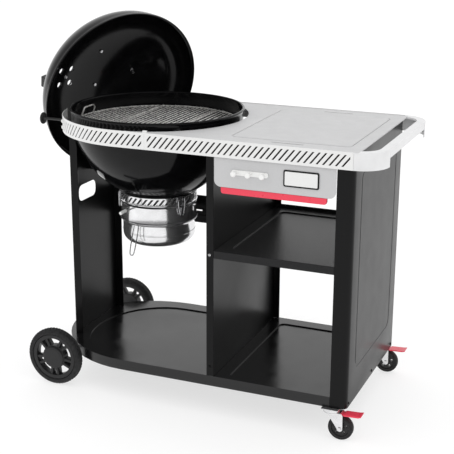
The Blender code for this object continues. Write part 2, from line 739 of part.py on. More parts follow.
def build_mid_shelf(frame, mat):
    x0 = DIVIDER_RIGHT + GAP
    x1 = COLUMN_LEFT - GAP
    slab = box(x0, x1, CART_FRONT, SHELF_BACK, SHELF_BOTTOM_Z, SHELF_TOP_Z)
    shelf = add_object("middle_shelf", slab, mat, frame)
    under = rounded_box(x0 + SHEET, x1 - SHEET, CART_FRONT + SHEET, SHELF_BACK - SHEET, 0.002, 1)
    combine(shelf, prism(under, SHELF_BOTTOM_Z - 0.01, SHELF_TOP_Z - BASE_DECK), "DIFFERENCE")
    pocket = rounded_box(0.372, 0.690, -0.262, 0.190, 0.020)
    combine(shelf, prism(pocket, SHELF_TOP_Z - POCKET_DEPTH, SHELF_TOP_Z + 0.01), "DIFFERENCE")
    lip = box(x0, x1, SHELF_BACK - SHEET, SHELF_BACK, SHELF_TOP_Z - 0.002, SHELF_LIP_Z)
    combine(shelf, lip, "UNION")


def build_divider(frame, mat):
    path = [(DIVIDER_LEFT, CART_FRONT + 0.016), (DIVIDER_LEFT, CART_FRONT), (DIVIDER_RIGHT, CART_FRONT)]
    path += [(DIVIDER_RIGHT, CART_BACK - SHEET), (DIVIDER_RIGHT + 0.0215, CART_BACK - SHEET)]
    divider = prism(folded(path, -SHEET), BASE_TOP_Z + GAP, TABLE_TOP_Z - TABLE_SHEET - GAP)
    add_object("centre_divider", divider, mat, frame)


def build_right_panel(frame, mat):
    corner = 0.020
    path = [(COLUMN_LEFT, CART_FRONT + 0.020), (COLUMN_LEFT, CART_FRONT)]
    path += arc((PANEL_RIGHT - corner, CART_FRONT + corner), corner, -90, 0, 6)
    path += arc((PANEL_RIGHT - 0.006, CART_BACK - 0.006), 0.006, 0, 90, 3)
    path.append((COLUMN_LEFT + 0.004, CART_BACK))
    wall = prism(folded(path, -SHEET), BASE_BOTTOM_Z, TABLE_TOP_Z - TABLE_SHEET - GAP)
    panel = add_object("right_side_panel", wall, mat, frame)
    stand = Matrix.Translation((PANEL_RIGHT + 0.010, 0.0, 0.0)) @ Matrix.Rotation(math.radians(90.0), 4, "Z")
    stand = stand @ Matrix.Rotation(math.radians(90.0), 4, "X")
    ring = rounded_ring(-0.228, 0.175, 0.215, 0.840, 0.030, 0.010)
    combine(panel, loft_ring(ring, -0.0107, 0.02), "DIFFERENCE", stand)


def rounded_ring(x0, x1, y0, y1, radius, width):
    """Outer and inner outlines of a rounded frame."""
    outer = rounded_box(x0, x1, y0, y1, radius)
    inner = rounded_box(x0 + width, x1 - width, y0 + width, y1 - width, radius - width)
    return outer, inner


def loft_ring(outlines, z0, z1):
    """Prism of a frame-shaped outline."""
    outer, inner = outlines
    loops = [[(x, y, z0) for x, y in outer], [(x, y, z1) for x, y in outer]]
    loops += [[(x, y, z1) for x, y in inner], [(x, y, z0) for x, y in inner]]
    return loft(loops, closed=True)


def build_leg(frame, mat):
    path = [(LEG_X + LEG_FLANGE, LEG_BACK), (LEG_X, LEG_BACK)]
    path += [(LEG_X, LEG_FRONT), (LEG_X + LEG_FLANGE, LEG_FRONT)]
    outline = folded(path, -SHEET)
    leg = add_object("left_leg", prism(outline, BASE_TOP_Z + GAP, LEG_TOP_Z), mat, frame)
    combine(leg, bowl_space(0.006), "DIFFERENCE")
    hole = rounded_box(-0.104, 0.012, 0.601, 0.656, 0.020, 3)
    loops = [[(x, y, z) for y, z in hole] for x in (LEG_X - 0.02, LEG_X + 0.02)]
    combine(leg, loft(loops), "DIFFERENCE")


def build_back_brace(frame, mat):
    """Ribbed plate across the back of the kettle bay, with one short slot."""
    low, high = 0.500, 0.598
    y0 = LEG_BACK + GAP
    x1 = DIVIDER_RIGHT - SHEET - GAP
    brace = add_object("back_brace", box(LEG_X, x1, y0, y0 + 0.004, low, high), mat, frame)
    for z in (0.529, 0.553, 0.579):
        groove = box(LEG_X + 0.020, x1 - 0.016, y0 - 0.01, y0 + 0.002, z - 0.002, z + 0.002)
        combine(brace, groove, "DIFFERENCE")
    combine(brace, box(-0.040, 0.094, y0 - 0.01, y0 + 0.012, 0.5415, 0.5465), "DIFFERENCE")


def build_bowl_brackets(frame, mat):
    left = box(LEG_X + SHEET + GAP, -0.200, -0.030, 0.030, 0.700, 0.745)
    bracket = add_object("bowl_bracket_left", left, mat, frame)
    combine(bracket, bowl_space(0.0008), "DIFFERENCE")
    right = box(0.225, DIVIDER_RIGHT - SHEET - GAP, -0.035, 0.035, 0.745, 0.790)
    bracket = add_object("bowl_bracket_right", right, mat, frame)
    combine(bracket, bowl_space(0.0008), "DIFFERENCE")


# ---------------------------------------------------------------- table and rails

def build_table(frame, mat):
    back_deg = math.degrees(math.asin(TABLE_BACK / TABLE_CUTOUT_R))
    outline = arc((0.0, 0.0), TABLE_CUTOUT_R, -84.0, back_deg, 26)
    corner = 0.005
    outline += [(TABLE_RIGHT - corner, TABLE_BACK), (TABLE_RIGHT, TABLE_BACK - corner)]
    outline += [(TABLE_RIGHT, TABLE_FRONT + corner), (TABLE_RIGHT - corner, TABLE_FRONT)]
    outline.append((outline[0][0], TABLE_FRONT))
    top = add_object("table_top", prism(outline, TABLE_TOP_Z - TABLE_SHEET, TABLE_TOP_Z), mat, frame)
    raised = rounded_box(0.360, 0.730, -0.240, 0.218, 0.018)
    combine(top, prism(raised, TABLE_TOP_Z - 0.0015, TABLE_TOP_Z + 0.0015), "UNION")
    for y in (-0.266, 0.239):
        slot = rounded_box(0.497, 0.597, y - 0.003, y + 0.003, 0.0029, 2)
        combine(top, prism(slot, TABLE_TOP_Z - 0.01, TABLE_TOP_Z + 0.01), "DIFFERENCE")


def front_rail_place(run, z, depth):
    """Run along the rail's face: negative is the arc left of the kettle, positive is straight."""
    radius = RAIL_R - depth
    if run >= 0.0:
        return (run, -radius, z)
    a = run / RAIL_R
    return (radius * math.sin(a), -radius * math.cos(a), z)


def back_rail_place(run, z, depth):
    """Run along the rear rail: straight part first, then the arc behind the kettle."""
    bend_deg = math.degrees(math.asin(RAIL_BACK / RAIL_R))
    bend_x = RAIL_R * math.cos(math.radians(bend_deg))
    if run >= 0.0:
        return (bend_x + run, RAIL_BACK - depth, z)
    a = math.radians(bend_deg) - run / RAIL_R
    return ((RAIL_R - depth) * math.cos(a), (RAIL_R - depth) * math.sin(a), z)


def build_rails(frame, mat):
    rows = (RAIL_BOTTOM_Z, SLOT_BOTTOM_Z, SLOT_TOP_Z, RAIL_TOP_Z)
    arc_run = RAIL_R * math.radians(78.0)
    left_length = arc_run + RAIL_SEAM_X
    slots = round((left_length - SLOT_SLANT) / SLOT_PITCH)
    columns = slot_columns(-arc_run, left_length, slots, SLOT_WIDTH, SLOT_SLANT)
    add_object("rail_left", slotted_strip(columns, rows, front_rail_place, RAIL_SHEET), mat, frame)
    front_length = RAIL_END_X - RAIL_SEAM_X - GAP
    slots = round((front_length - SLOT_SLANT) / SLOT_PITCH)
    columns = slot_columns(RAIL_SEAM_X + GAP, front_length, slots, SLOT_WIDTH, SLOT_SLANT)
    add_object("rail_front", slotted_strip(columns, rows, front_rail_place, RAIL_SHEET), mat, frame)
    bend_x = math.sqrt(RAIL_R ** 2 - RAIL_BACK ** 2)
    runs = [-0.195, -0.165, -0.143, -0.120, -0.090, -0.060, -0.030, 0.0, RAIL_END_X - bend_x]
    section = [(RAIL_BOTTOM_Z, 0.0), (RAIL_TOP_Z, 0.0), (RAIL_TOP_Z, RAIL_SHEET), (RAIL_BOTTOM_Z, RAIL_SHEET)]
    loops = [[back_rail_place(run, z, depth) for z, depth in section] for run in runs]
    add_object("rail_back", loft(loops), mat, frame)


def build_end_handle(frame, mat):
    """Moulded corner caps joined by the grab bar across the table's right end."""
    x0 = RAIL_END_X + GAP
    r = HANDLE_OUTER_X - x0
    front = arc((x0, -RAIL_R + r), r, -90, 0, 6)
    back = arc((x0, RAIL_BACK - r), r, 0, 90, 6)
    inner = r - HANDLE_WIDTH
    x_top = TABLE_RIGHT + GAP
    clip = math.degrees(math.acos((x_top - x0) / r))
    clip_in = math.degrees(math.acos((x_top - x0) / inner))
    outline = arc((x0, -RAIL_R + r), r, -clip, 0, 6) + arc((x0, RAIL_BACK - r), r, 0, clip, 6)
    outline += arc((x0, RAIL_BACK - r), inner, clip_in, 0, 6)
    outline += arc((x0, -RAIL_R + r), inner, 0, -clip_in, 6)
    handle = add_object("end_handle", prism(outline, RAIL_TOP_Z - 0.008, RAIL_TOP_Z), mat, frame)
    skirt = front + [tuple(p) for p in reversed(arc((x0, -RAIL_R + r), r - 0.003, -90, 0, 6))]
    combine(handle, prism(skirt, RAIL_BOTTOM_Z, RAIL_TOP_Z), "UNION")
    skirt = back + [tuple(p) for p in reversed(arc((x0, RAIL_BACK - r), r - 0.003, 0, 90, 6))]
    combine(handle, prism(skirt, RAIL_BOTTOM_Z, RAIL_TOP_Z), "UNION")
    front_end, back_end = -RAIL_R + r, RAIL_BACK - r
    bar = box(HANDLE_OUTER_X - HANDLE_WIDTH, HANDLE_OUTER_X, front_end, back_end, HANDLE_BAR_Z, RAIL_TOP_Z)
    combine(handle, bar, "UNION")


def facing_plate(outline, y_front, thickness):
    """Plate drawn in X and Z, its front face at a given Y."""
    loops = [[(x, y, z) for x, z in outline] for y in (y_front, y_front + thickness)]
    return loft(loops)


def build_front_trim(frame, light, red, white, dark):
    x0, x1 = DIVIDER_RIGHT + 0.0035, COLUMN_LEFT - 0.0008
    outline = arc((x1 - 0.020, 0.787), 0.020, -90, 0, 5) + [(x1, 0.880), (x0, 0.880)]
    outline += arc((x0 + 0.020, 0.787), 0.020, 180, 270, 5)
    add_object("front_apron", facing_plate(outline, -0.306, 0.0025), light, frame)
    strip = arc((0.684 - 0.008, 0.755), 0.008, -90, 0, 3) + [(0.684, 0.7665), (0.354, 0.7665)]
    strip += arc((0.354 + 0.008, 0.755), 0.008, 180, 270, 3)
    add_object("accent_bar", facing_plate(strip, -0.305, 0.010), red, frame)
    badge = rounded_box(0.552, 0.661, 0.790, 0.840, 0.005, 2)
    add_object("badge_plate", facing_plate(badge, -0.3088, 0.0025), dark, frame)
    rail = rounded_box(0.390, 0.505, 0.808, 0.824, 0.007, 3)
    hooks = add_object("tool_hooks", facing_plate(rail, -0.3083, 0.002), white, frame)
    peg = [(0.0, -0.001), (0.0045, -0.001), (0.0045, 0.016), (0.0085, 0.018), (0.0085, 0.023), (0.0, 0.025)]
    for x in (0.403, 0.448, 0.492):
        combine(hooks, revolve(peg, 12), "UNION", on_y_axis(x, -0.3083, 0.816))


def build_lid_rests(frame, mat):
    """Two rods with end discs, fixed to the rail, that the hung lid leans on."""
    rests = [("lid_rest_front", (-0.290, -0.090, 0.876), (-1.0, 0.0, 0.0), 0.097)]
    rests.append(("lid_rest_rear", (-0.015, 0.3035, 0.868), (-0.342, 0.940, 0.0), 0.085))
    for name, foot, heading, reach in rests:
        way = Vector(heading).normalized()
        profile = [(0.0, 0.0), (0.010, 0.0), (0.010, 0.017), (0.0042, 0.019), (0.0042, reach - 0.008)]
        profile += [(0.019, reach - 0.007), (0.020, reach - 0.005), (0.019, reach - 0.002), (0.0, reach)]
        turn = way.to_track_quat("Z", "Y").to_matrix().to_4x4()
        rest = add_object(name, revolve(profile, 14), mat, frame, Matrix.Translation(foot) @ turn)
        combine(rest, disc(RAIL_R + 0.0006, 0.85, 0.92, 96), "DIFFERENCE")


# ---------------------------------------------------------------- running gear

def mirrored(half_profile):
    """Wheel profile made of one half and its mirror image across the middle plane."""
    return half_profile + [(r, -z) for r, z in reversed(half_profile)]


def build_wheels(frame, rubber, plastic, steel):
    reach = WHEEL_HALF_WIDTH - 0.003
    axle = disc(AXLE_R, 0.0, WHEEL_REAR_Y - WHEEL_FRONT_Y + 2.0 * reach, 14)
    add_object("wheel_axle", axle, steel, frame, on_y_axis(WHEEL_X, WHEEL_REAR_Y + reach, WHEEL_Z))
    for name, y in (("front", -0.095), ("rear", 0.095)):
        low, high = WHEEL_Z - 0.0145, BASE_TOP_Z - BASE_DECK - GAP
        bracket = box(WHEEL_X - 0.016, WHEEL_X + 0.020, y - 0.0015, y + 0.0015, low, high)
        plate = add_object(f"axle_bracket_{name}", bracket, steel, frame)
        combine(plate, disc(AXLE_R + 0.0004, -0.01, 0.01, 14), "DIFFERENCE", on_y_axis(WHEEL_X, y, WHEEL_Z))
    half = WHEEL_HALF_WIDTH
    seat = WHEEL_R - 0.0195
    tyre = mirrored([(seat, half - 0.004), (WHEEL_R - 0.0085, half), (WHEEL_R - 0.003, half - 0.003),
                     (WHEEL_R, half - 0.009)])
    rim = mirrored([(AXLE_R + 0.0004, half - 0.002), (0.040, half - 0.002), (0.042, 0.006), (0.065, 0.006),
                    (0.066, half - 0.004), (seat - 0.0003, half - 0.005)])
    cap = [(0.0, 0.0008), (0.038, 0.0008), (0.038, 0.003), (0.034, 0.0045), (0.0, 0.0055)]
    for name, y, out in (("front", WHEEL_FRONT_Y, 1.0), ("rear", WHEEL_REAR_Y, -1.0)):
        spin = empty(f"wheel_{name}_axis", frame, (WHEEL_X, y, WHEEL_Z))
        face = Matrix.Rotation(math.radians(90.0 * out), 4, "X")
        add_object(f"wheel_{name}_tyre", revolve(tyre, 30, math.radians(6.0)), rubber, spin, face)
        hub = add_object(f"wheel_{name}_rim", revolve(rim, 30, math.radians(6.0)), plastic, spin, face)
        for i in range(5):
            for middle, wide in ((92.0 + 72.0 * i, 19.0), (128.0 + 72.0 * i, 6.0)):
                window = arc((0.0, 0.0), 0.0625, middle - wide, middle + wide, 2)
                window += arc((0.0, 0.0), 0.0445, middle + wide * 0.9, middle - wide * 0.9, 1)
                combine(hub, prism(window, -0.03, 0.03), "DIFFERENCE", face)
        outer_face = face @ Matrix.Translation((0.0, 0.0, half - 0.002))
        add_object(f"wheel_{name}_cap", revolve(cap, 24), plastic, spin, outer_face)


def build_caster(frame, name, y, inboard, steel, plastic, red):
    mount_z = BASE_BOTTOM_Z - GAP - 0.003
    spot = Matrix.Translation((CASTER_X, y, 0.0))
    near, far = sorted((-0.027 * inboard, 0.052 * inboard))
    plate = box(-0.027, 0.027, near, far, mount_z, BASE_BOTTOM_Z - GAP)
    mount = add_object(f"caster_{name}_mount", plate, steel, frame, spot)
    race = disc(0.0262, mount_z - 0.009, mount_z + 0.0005, 20)
    combine(mount, race, "UNION", spot)
    swivel = empty(f"caster_{name}_swivel", frame, (CASTER_X, y, 0.0))
    crown_top = mount_z - 0.009 - GAP
    fork = add_object(f"caster_{name}_fork", disc(0.026, crown_top - 0.003, crown_top, 20), steel, swivel)
    width = CASTER_HALF_WIDTH + 0.002
    for sign in (-1.0, 1.0):
        cheek = [(-0.012, crown_top - 0.001), (0.036, crown_top - 0.001), (0.0395, crown_top - 0.010)]
        cheek.append((CASTER_TRAIL + 0.009, CASTER_Z + 0.002))
        cheek += [(x, z) for x, z in arc((CASTER_TRAIL, CASTER_Z), 0.009, 0, -180, 6)]
        near = sign * width
        far = sign * (width + 0.0022)
        loops = [[(x, side, z) for x, z in cheek] for side in (near, far)]
        combine(fork, loft(loops), "UNION")
    pin = disc(0.0038, -width - 0.004, width + 0.004, 12)
    combine(fork, pin, "UNION", on_y_axis(CASTER_TRAIL, 0.0, CASTER_Z))
    roll = empty(f"caster_{name}_roll", swivel, (CASTER_TRAIL, 0.0, CASTER_Z))
    half = CASTER_HALF_WIDTH
    wheel = mirrored([(0.0042, half - 0.001), (0.011, half - 0.001), (0.012, half - 0.005),
                      (0.025, half - 0.005), (0.027, half), (0.034, half), (CASTER_R, half - 0.004)])
    face = Matrix.Rotation(math.radians(90.0), 4, "X")
    tread = add_object(f"caster_{name}_wheel", revolve(wheel, 20), plastic, roll, face)
    for i in range(5):
        a = math.radians(72.0 * i + 18.0)
        hole = disc(0.0042, -0.03, 0.03, 7)
        spot = Matrix.Translation((0.0185 * math.cos(a), 0.0185 * math.sin(a), 0.0))
        combine(tread, hole, "DIFFERENCE", face @ spot)
    pedal_z = crown_top - 0.004
    hinge = empty(f"caster_{name}_brake_hinge", swivel, (0.030, 0.0, pedal_z))
    outline = [(0.0125, -0.002), (0.058, 0.000), (0.067, 0.003)]
    outline += [(0.067, 0.006), (0.056, 0.004), (0.0125, 0.002)]
    loops = [[(x, side, z) for x, z in outline] for side in (-0.0175, 0.0175)]
    pedal = add_object(f"caster_{name}_brake", loft(loops), red, hinge)
    combine(pedal, box(0.0005, 0.020, -0.0125, 0.0125, -0.0015, 0.0015), "UNION")
    combine(pedal, box(0.006, 0.012, -0.005, 0.005, -0.0050, 0.0), "UNION")


def build():
    clear_scene()
    dark = cart_paint()
    black = enamel()
    light = table_paint()
    white = rail_paint()
    red = accent_paint()
    chrome = bright_steel()
    wire = plated_wire()
    plastic = black_plastic()
    rubber = tyre_rubber()
    pale = white_plastic()
    frame = empty("cart_frame", None, (KETTLE_AXIS[0], KETTLE_AXIS[1], -TREAD_Z))

    build_base(frame, dark)
    build_mid_shelf(frame, dark)
    build_divider(frame, dark)
    build_right_panel(frame, dark)
    build_leg(frame, dark)
    build_back_brace(frame, dark)
    build_bowl_brackets(frame, dark)

    build_table(frame, light)
    build_rails(frame, white)
    build_end_handle(frame, white)
    build_front_trim(frame, light, red, pale, dark)
    build_lid_rests(frame, plastic)

    build_bowl(frame, black)
    build_cooking_grate(frame, wire)
    build_charcoal_grate(frame, wire)
    build_ash_sweep(frame, wire, pale)
    build_collar(frame, chrome, dark)
    build_ash_pot(frame, chrome, wire)
    build_clamps(frame, wire)

    lid = empty("lid_hung", frame)
    lid.matrix_local = lid_place()
    build_lid(lid, black, plastic, wire)
    build_damper(lid, wire, plastic)

    build_wheels(frame, rubber, plastic, wire)
    build_caster(frame, "front", CASTER_FRONT_Y, 1.0, chrome, plastic, red)
    build_caster(frame, "rear", CASTER_REAR_Y, -1.0, chrome, plastic, red)
    bpy.context.view_layer.update()


build()
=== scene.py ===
"""Looks of the kettle charcoal grill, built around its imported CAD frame."""

import json
import math

import bmesh
import bpy
from mathutils import Matrix, Vector


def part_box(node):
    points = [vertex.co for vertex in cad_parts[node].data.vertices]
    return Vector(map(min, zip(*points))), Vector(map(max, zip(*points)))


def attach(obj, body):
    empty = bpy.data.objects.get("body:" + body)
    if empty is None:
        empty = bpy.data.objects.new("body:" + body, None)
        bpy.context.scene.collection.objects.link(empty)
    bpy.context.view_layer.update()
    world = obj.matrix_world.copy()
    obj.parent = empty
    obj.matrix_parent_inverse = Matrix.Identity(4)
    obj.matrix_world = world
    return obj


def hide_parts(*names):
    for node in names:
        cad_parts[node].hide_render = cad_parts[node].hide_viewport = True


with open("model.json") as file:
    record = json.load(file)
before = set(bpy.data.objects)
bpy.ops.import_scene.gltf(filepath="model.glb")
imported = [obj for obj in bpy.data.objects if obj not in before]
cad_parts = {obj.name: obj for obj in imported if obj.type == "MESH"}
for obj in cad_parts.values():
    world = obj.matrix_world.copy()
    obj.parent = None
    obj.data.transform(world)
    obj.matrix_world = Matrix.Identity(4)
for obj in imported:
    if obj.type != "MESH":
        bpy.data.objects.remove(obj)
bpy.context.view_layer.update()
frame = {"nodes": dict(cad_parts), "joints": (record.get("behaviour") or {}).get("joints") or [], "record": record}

NODE_BODY = {node: body for body, nodes in frame["record"]["behaviour"]["bodies"].items() for node in nodes}
NODE_SLOT = {part["node"]: part["material_slot"] for part in frame["record"]["subparts"]}

# Places read from the frame.
BOWL_LOW, BOWL_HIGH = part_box("bowl")
KETTLE = Vector(((BOWL_LOW.x + BOWL_HIGH.x) / 2.0, (BOWL_LOW.y + BOWL_HIGH.y) / 2.0, 0.0))
RIM_TOP = BOWL_HIGH.z
RIM_R = (BOWL_HIGH.x - BOWL_LOW.x) / 2.0

# Camera: place from the kettle's axis, and the way it looks.
CAMERA_FROM_KETTLE = Vector((1.595, -3.250, 1.605))
CAMERA_YAW = math.radians(22.5)
CAMERA_DOWN = math.radians(16.93)
CAMERA_ROLL = math.radians(0.25)
CAMERA_LENS = 88.1

# Bowl and lid shells.
BOWL_R = 0.2835
BOWL_WALL = 0.0022
BOWL_EQUATOR = RIM_TOP - 0.015
BOWL_DEPTH = 0.291
LID_R = 0.2935
LID_WALL = 0.0022
LID_DOME_R = 0.2885
LID_RISE = 0.181
LID_SKIRT = 0.014
LID_LEDGE = 0.0095
LID_CLOSED = RIM_TOP - LID_LEDGE + 0.0003
DAMPER_R = 0.138
DAMPER_AZIMUTH = 221.0
DAMPER_HOLES = 0.0375
DAMPER_TURN = 55.0
DIAL_AZIMUTH = 52.0
HANDLE_AZIMUTH = 140.0

# Slanted slots of the rails and the collar: run along the strip for each metre of height.
SLOT_SLOPE = 0.81
SLOT_PITCH = 0.0191
SLOT_WIDTH = 0.0062
COLLAR_SLOTS = 42
DAMPER_BORE = 0.0115
CASTER_BORE = 0.0046
RAIL_R = 0.312
ROUND = 144


# ---------------------------------------------------------------- materials

class Surface:
    """A Principled material with short ways to add procedural detail."""

    def __init__(self, name, rgb, roughness, metallic=0.0, coat=0.0, specular=0.5):
        self.mat = bpy.data.materials.new(name)
        self.mat.use_nodes = True
        self.nodes = self.mat.node_tree.nodes
        self.links = self.mat.node_tree.links
        self.shader = self.nodes["Principled BSDF"]
        self.rgb = rgb
        self.shader.inputs["Base Color"].default_value = (*rgb, 1.0)
        self.shader.inputs["Roughness"].default_value = roughness
        self.shader.inputs["Metallic"].default_value = metallic
        self.shader.inputs["Coat Weight"].default_value = coat
        self.shader.inputs["Specular IOR Level"].default_value = specular
        self.shader.inputs["Coat Roughness"].default_value = 0.08
        self.place = self.nodes.new("ShaderNodeTexCoord").outputs["Object"]
        self.bump_out = None

    def noise(self, scale, detail=3.0, stretch=(1.0, 1.0, 1.0)):
        mapping = self.nodes.new("ShaderNodeMapping")
        mapping.inputs["Scale"].default_value = stretch
        self.links.new(self.place, mapping.inputs["Vector"])
        tex = self.nodes.new("ShaderNodeTexNoise")
        tex.inputs["Scale"].default_value = scale
        tex.inputs["Detail"].default_value = detail
        self.links.new(mapping.outputs["Vector"], tex.inputs["Vector"])
        return tex.outputs["Fac"]

    def spread(self, value, low, high, from_low=0.3, from_high=0.7):
        ramp = self.nodes.new("ShaderNodeMapRange")
        ramp.inputs["From Min"].default_value = from_low
        ramp.inputs["From Max"].default_value = from_high
        ramp.inputs["To Min"].default_value = low
        ramp.inputs["To Max"].default_value = high
        self.links.new(value, ramp.inputs["Value"])
        return ramp.outputs["Result"]

    def rough(self, value, low, high):
        self.links.new(self.spread(value, low, high), self.shader.inputs["Roughness"])
        return self

    def tint(self, value, dark, light):
        mix = self.nodes.new("ShaderNodeMix")
        mix.data_type = "RGBA"
        mix.inputs["A"].default_value = (*[c * dark for c in self.rgb], 1.0)
        mix.inputs["B"].default_value = (*[min(1.0, c * light) for c in self.rgb], 1.0)
        self.links.new(self.spread(value, 0.0, 1.0), mix.inputs["Factor"])
        self.links.new(mix.outputs["Result"], self.shader.inputs["Base Color"])
        return self

    def bump(self, value, strength, distance):
        node = self.nodes.new("ShaderNodeBump")
        node.inputs["Strength"].default_value = strength
        node.inputs["Distance"].default_value = distance
        self.links.new(value, node.inputs["Height"])
        if self.bump_out is not None:
            self.links.new(self.bump_out, node.inputs["Normal"])
        self.bump_out = node.outputs["Normal"]
        self.links.new(self.bump_out, self.shader.inputs["Normal"])
        return self


def enamel():
    s = Surface("porcelain_enamel", (0.0028, 0.0028, 0.0031), 0.11, specular=0.20)
    s.rough(s.noise(9.0, 4.0), 0.09, 0.15)
    s.tint(s.noise(30.0, 3.0), 0.7, 1.5)
    s.bump(s.noise(70.0, 2.0), 0.05, 0.0006)
    return s.bump(s.noise(900.0, 2.0), 0.03, 0.0001).mat


def cart_paint():
    s = Surface("cart_powder_coat", (0.0032, 0.0032, 0.0034), 0.30, specular=0.17)
    s.rough(s.noise(14.0, 4.0), 0.28, 0.32)
    s.tint(s.noise(1500.0, 2.0), 0.6, 1.7)
    return s.bump(s.noise(1300.0, 2.0), 0.10, 0.0002).mat


def shelf_paint_painted_glints():
    """The cart's paint on a shelf floor, with a lighter colour and bright flecks as painted glints where the
    coarse grain catches the light; the bump is the real grain.
    """
    # Base colour lighter than the cart paint: painted light on the shelf floor.
    s = Surface("shelf_powder_coat_painted_glints", (0.007, 0.007, 0.0074), 0.30, specular=0.22)
    s.rough(s.noise(500.0, 3.0), 0.18, 0.50)
    # Flecks up to three times brighter: painted glints on the grain.
    s.tint(s.noise(650.0, 3.0), 0.3, 3.0)
    return s.bump(s.noise(620.0, 3.0), 0.30, 0.0004).mat


def base_paint():
    s = Surface("base_powder_coat", (0.0045, 0.0045, 0.0048), 0.20, specular=0.46)
    s.rough(s.noise(20.0, 4.0), 0.16, 0.26)
    s.tint(s.noise(900.0, 2.0), 0.6, 1.6)
    return s.bump(s.noise(160.0, 4.0), 0.08, 0.0006).mat


def table_paint():
    s = Surface("table_powder_coat", (0.52, 0.52, 0.525), 0.42, specular=0.35)
    s.rough(s.noise(25.0, 4.0), 0.36, 0.50)
    s.tint(s.noise(1100.0, 3.0), 0.90, 1.07)
    return s.bump(s.noise(1200.0, 2.0), 0.10, 0.0002).mat


def rail_paint():
    s = Surface("rail_satin_paint", (0.74, 0.74, 0.735), 0.34)
    s.rough(s.noise(30.0, 4.0), 0.28, 0.42)
    s.tint(s.noise(700.0, 3.0), 0.94, 1.05)
    return s.bump(s.noise(1500.0, 2.0), 0.06, 0.0002).mat


def handle_plastic():
    s = Surface("handle_moulding", (0.70, 0.70, 0.705), 0.36)
    s.rough(s.noise(40.0, 3.0), 0.30, 0.44)
    s.tint(s.noise(20.0, 3.0), 0.95, 1.04)
    return s.bump(s.noise(2200.0, 2.0), 0.08, 0.0002).mat


def red_paint():
    s = Surface("accent_red_paint", (0.78, 0.035, 0.075), 0.32, coat=0.3)
    s.rough(s.noise(40.0, 3.0), 0.26, 0.40)
    s.tint(s.noise(900.0, 2.0), 0.90, 1.08)
    return s.bump(s.noise(1600.0, 2.0), 0.05, 0.0002).mat


def spun_steel():
    """Polished steel turned about an upright axis, with fine level lines."""
    s = Surface("spun_steel", (0.84, 0.84, 0.85), 0.14, metallic=0.92)
    lines = s.noise(1.0, 4.0, (6.0, 6.0, 900.0))
    s.rough(lines, 0.09, 0.24)
    s.tint(s.noise(18.0, 3.0), 0.86, 1.06)
    return s.bump(lines, 0.06, 0.0002).mat


def plated_steel():
    s = Surface("plated_steel", (0.62, 0.62, 0.63), 0.22, metallic=1.0)
    s.rough(s.noise(160.0, 4.0), 0.14, 0.34)
    s.tint(s.noise(90.0, 3.0), 0.78, 1.08)
    return s.bump(s.noise(700.0, 3.0), 0.05, 0.0002).mat


def grate_wire():
    s = Surface("grate_plating", (0.62, 0.61, 0.59), 0.32, metallic=0.55)
    s.rough(s.noise(120.0, 4.0), 0.18, 0.42)
    s.tint(s.noise(60.0, 4.0), 0.70, 1.10)
    return s.bump(s.noise(900.0, 3.0), 0.08, 0.0002).mat


def black_plastic():
    s = Surface("black_moulding", (0.014, 0.014, 0.014), 0.42)
    s.rough(s.noise(60.0, 3.0), 0.34, 0.52)
    s.tint(s.noise(300.0, 3.0), 0.7, 1.5)
    return s.bump(s.noise(1700.0, 2.0), 0.12, 0.0002).mat


def wheel_plastic():
    s = Surface("wheel_moulding", (0.013, 0.013, 0.0135), 0.36, specular=0.35)
    s.rough(s.noise(80.0, 3.0), 0.28, 0.46)
    s.tint(s.noise(400.0, 3.0), 0.7, 1.5)
    return s.bump(s.noise(1900.0, 2.0), 0.10, 0.0002).mat


def tyre_rubber():
    s = Surface("tyre_rubber", (0.014, 0.014, 0.0145), 0.72, specular=0.35)
    s.rough(s.noise(90.0, 4.0), 0.60, 0.86)
    s.tint(s.noise(150.0, 4.0), 0.65, 1.6)
    return s.bump(s.noise(1100.0, 4.0), 0.20, 0.0004).mat


def white_plastic():
    s = Surface("white_moulding", (0.80, 0.80, 0.79), 0.34)
    s.rough(s.noise(50.0, 3.0), 0.28, 0.42)
    s.tint(s.noise(200.0, 3.0), 0.95, 1.03)
    return s.bump(s.noise(1700.0, 2.0), 0.06, 0.0002).mat


def floor_finish():
    s = Surface("studio_floor", (0.36, 0.36, 0.36), 0.80, specular=0.2)
    s.shader.inputs["Emission Color"].default_value = (1.0, 1.0, 1.0, 1.0)
    s.shader.inputs["Emission Strength"].default_value = 0.66
    s.rough(s.noise(3.0, 2.0), 0.75, 0.85)
    return s.mat


MATERIALS = {
    "black_enamel": enamel(),
    "cart_paint": cart_paint(),
    "table_paint": table_paint(),
    "rail_paint": rail_paint(),
    "accent_red": red_paint(),
    "bright_steel": spun_steel(),
    "plated_wire": plated_steel(),
    "black_plastic": black_plastic(),
    "tyre_rubber": tyre_rubber(),
    "white_plastic": white_plastic(),
}
SHELF_WITH_PAINTED_GLINTS = shelf_paint_painted_glints()
BASE = base_paint()
HANDLE = handle_plastic()
GRATE = grate_wire()
WHEEL = wheel_plastic()


# ---------------------------------------------------------------- mesh helpers

def add_piece(name, bm, node=None, body=None, slot=None, mat=None, matrix=None, sharp=32.0, replaces=True):
    """Make a shown piece from a bmesh. With a node, it rides, is finished and stands in as that node."""
    bmesh.ops.recalc_face_normals(bm, faces=bm.faces)
    if matrix is not None:
        bm.transform(matrix)
    mesh = bpy.data.meshes.new(name)
    bm.to_mesh(mesh)
    bm.free()
    mesh.shade_smooth()
    mesh.set_sharp_from_angle(angle=math.radians(sharp))
    obj = bpy.data.objects.new(name, mesh)
    bpy.context.scene.collection.objects.link(obj)
    slot = slot or NODE_SLOT[node]
    mesh.materials.append(mat or MATERIALS[slot])
    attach(obj, body or NODE_BODY[node])
    if node is not None and replaces:
        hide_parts(node)
    return obj


def bevel(obj, width, segments=2, angle=30.0):
    step = obj.modifiers.new("bevel", "BEVEL")
    step.width = width
    step.segments = segments
    step.limit_method = "ANGLE"
    step.angle_limit = math.radians(angle)
    step.harden_normals = True
    return obj


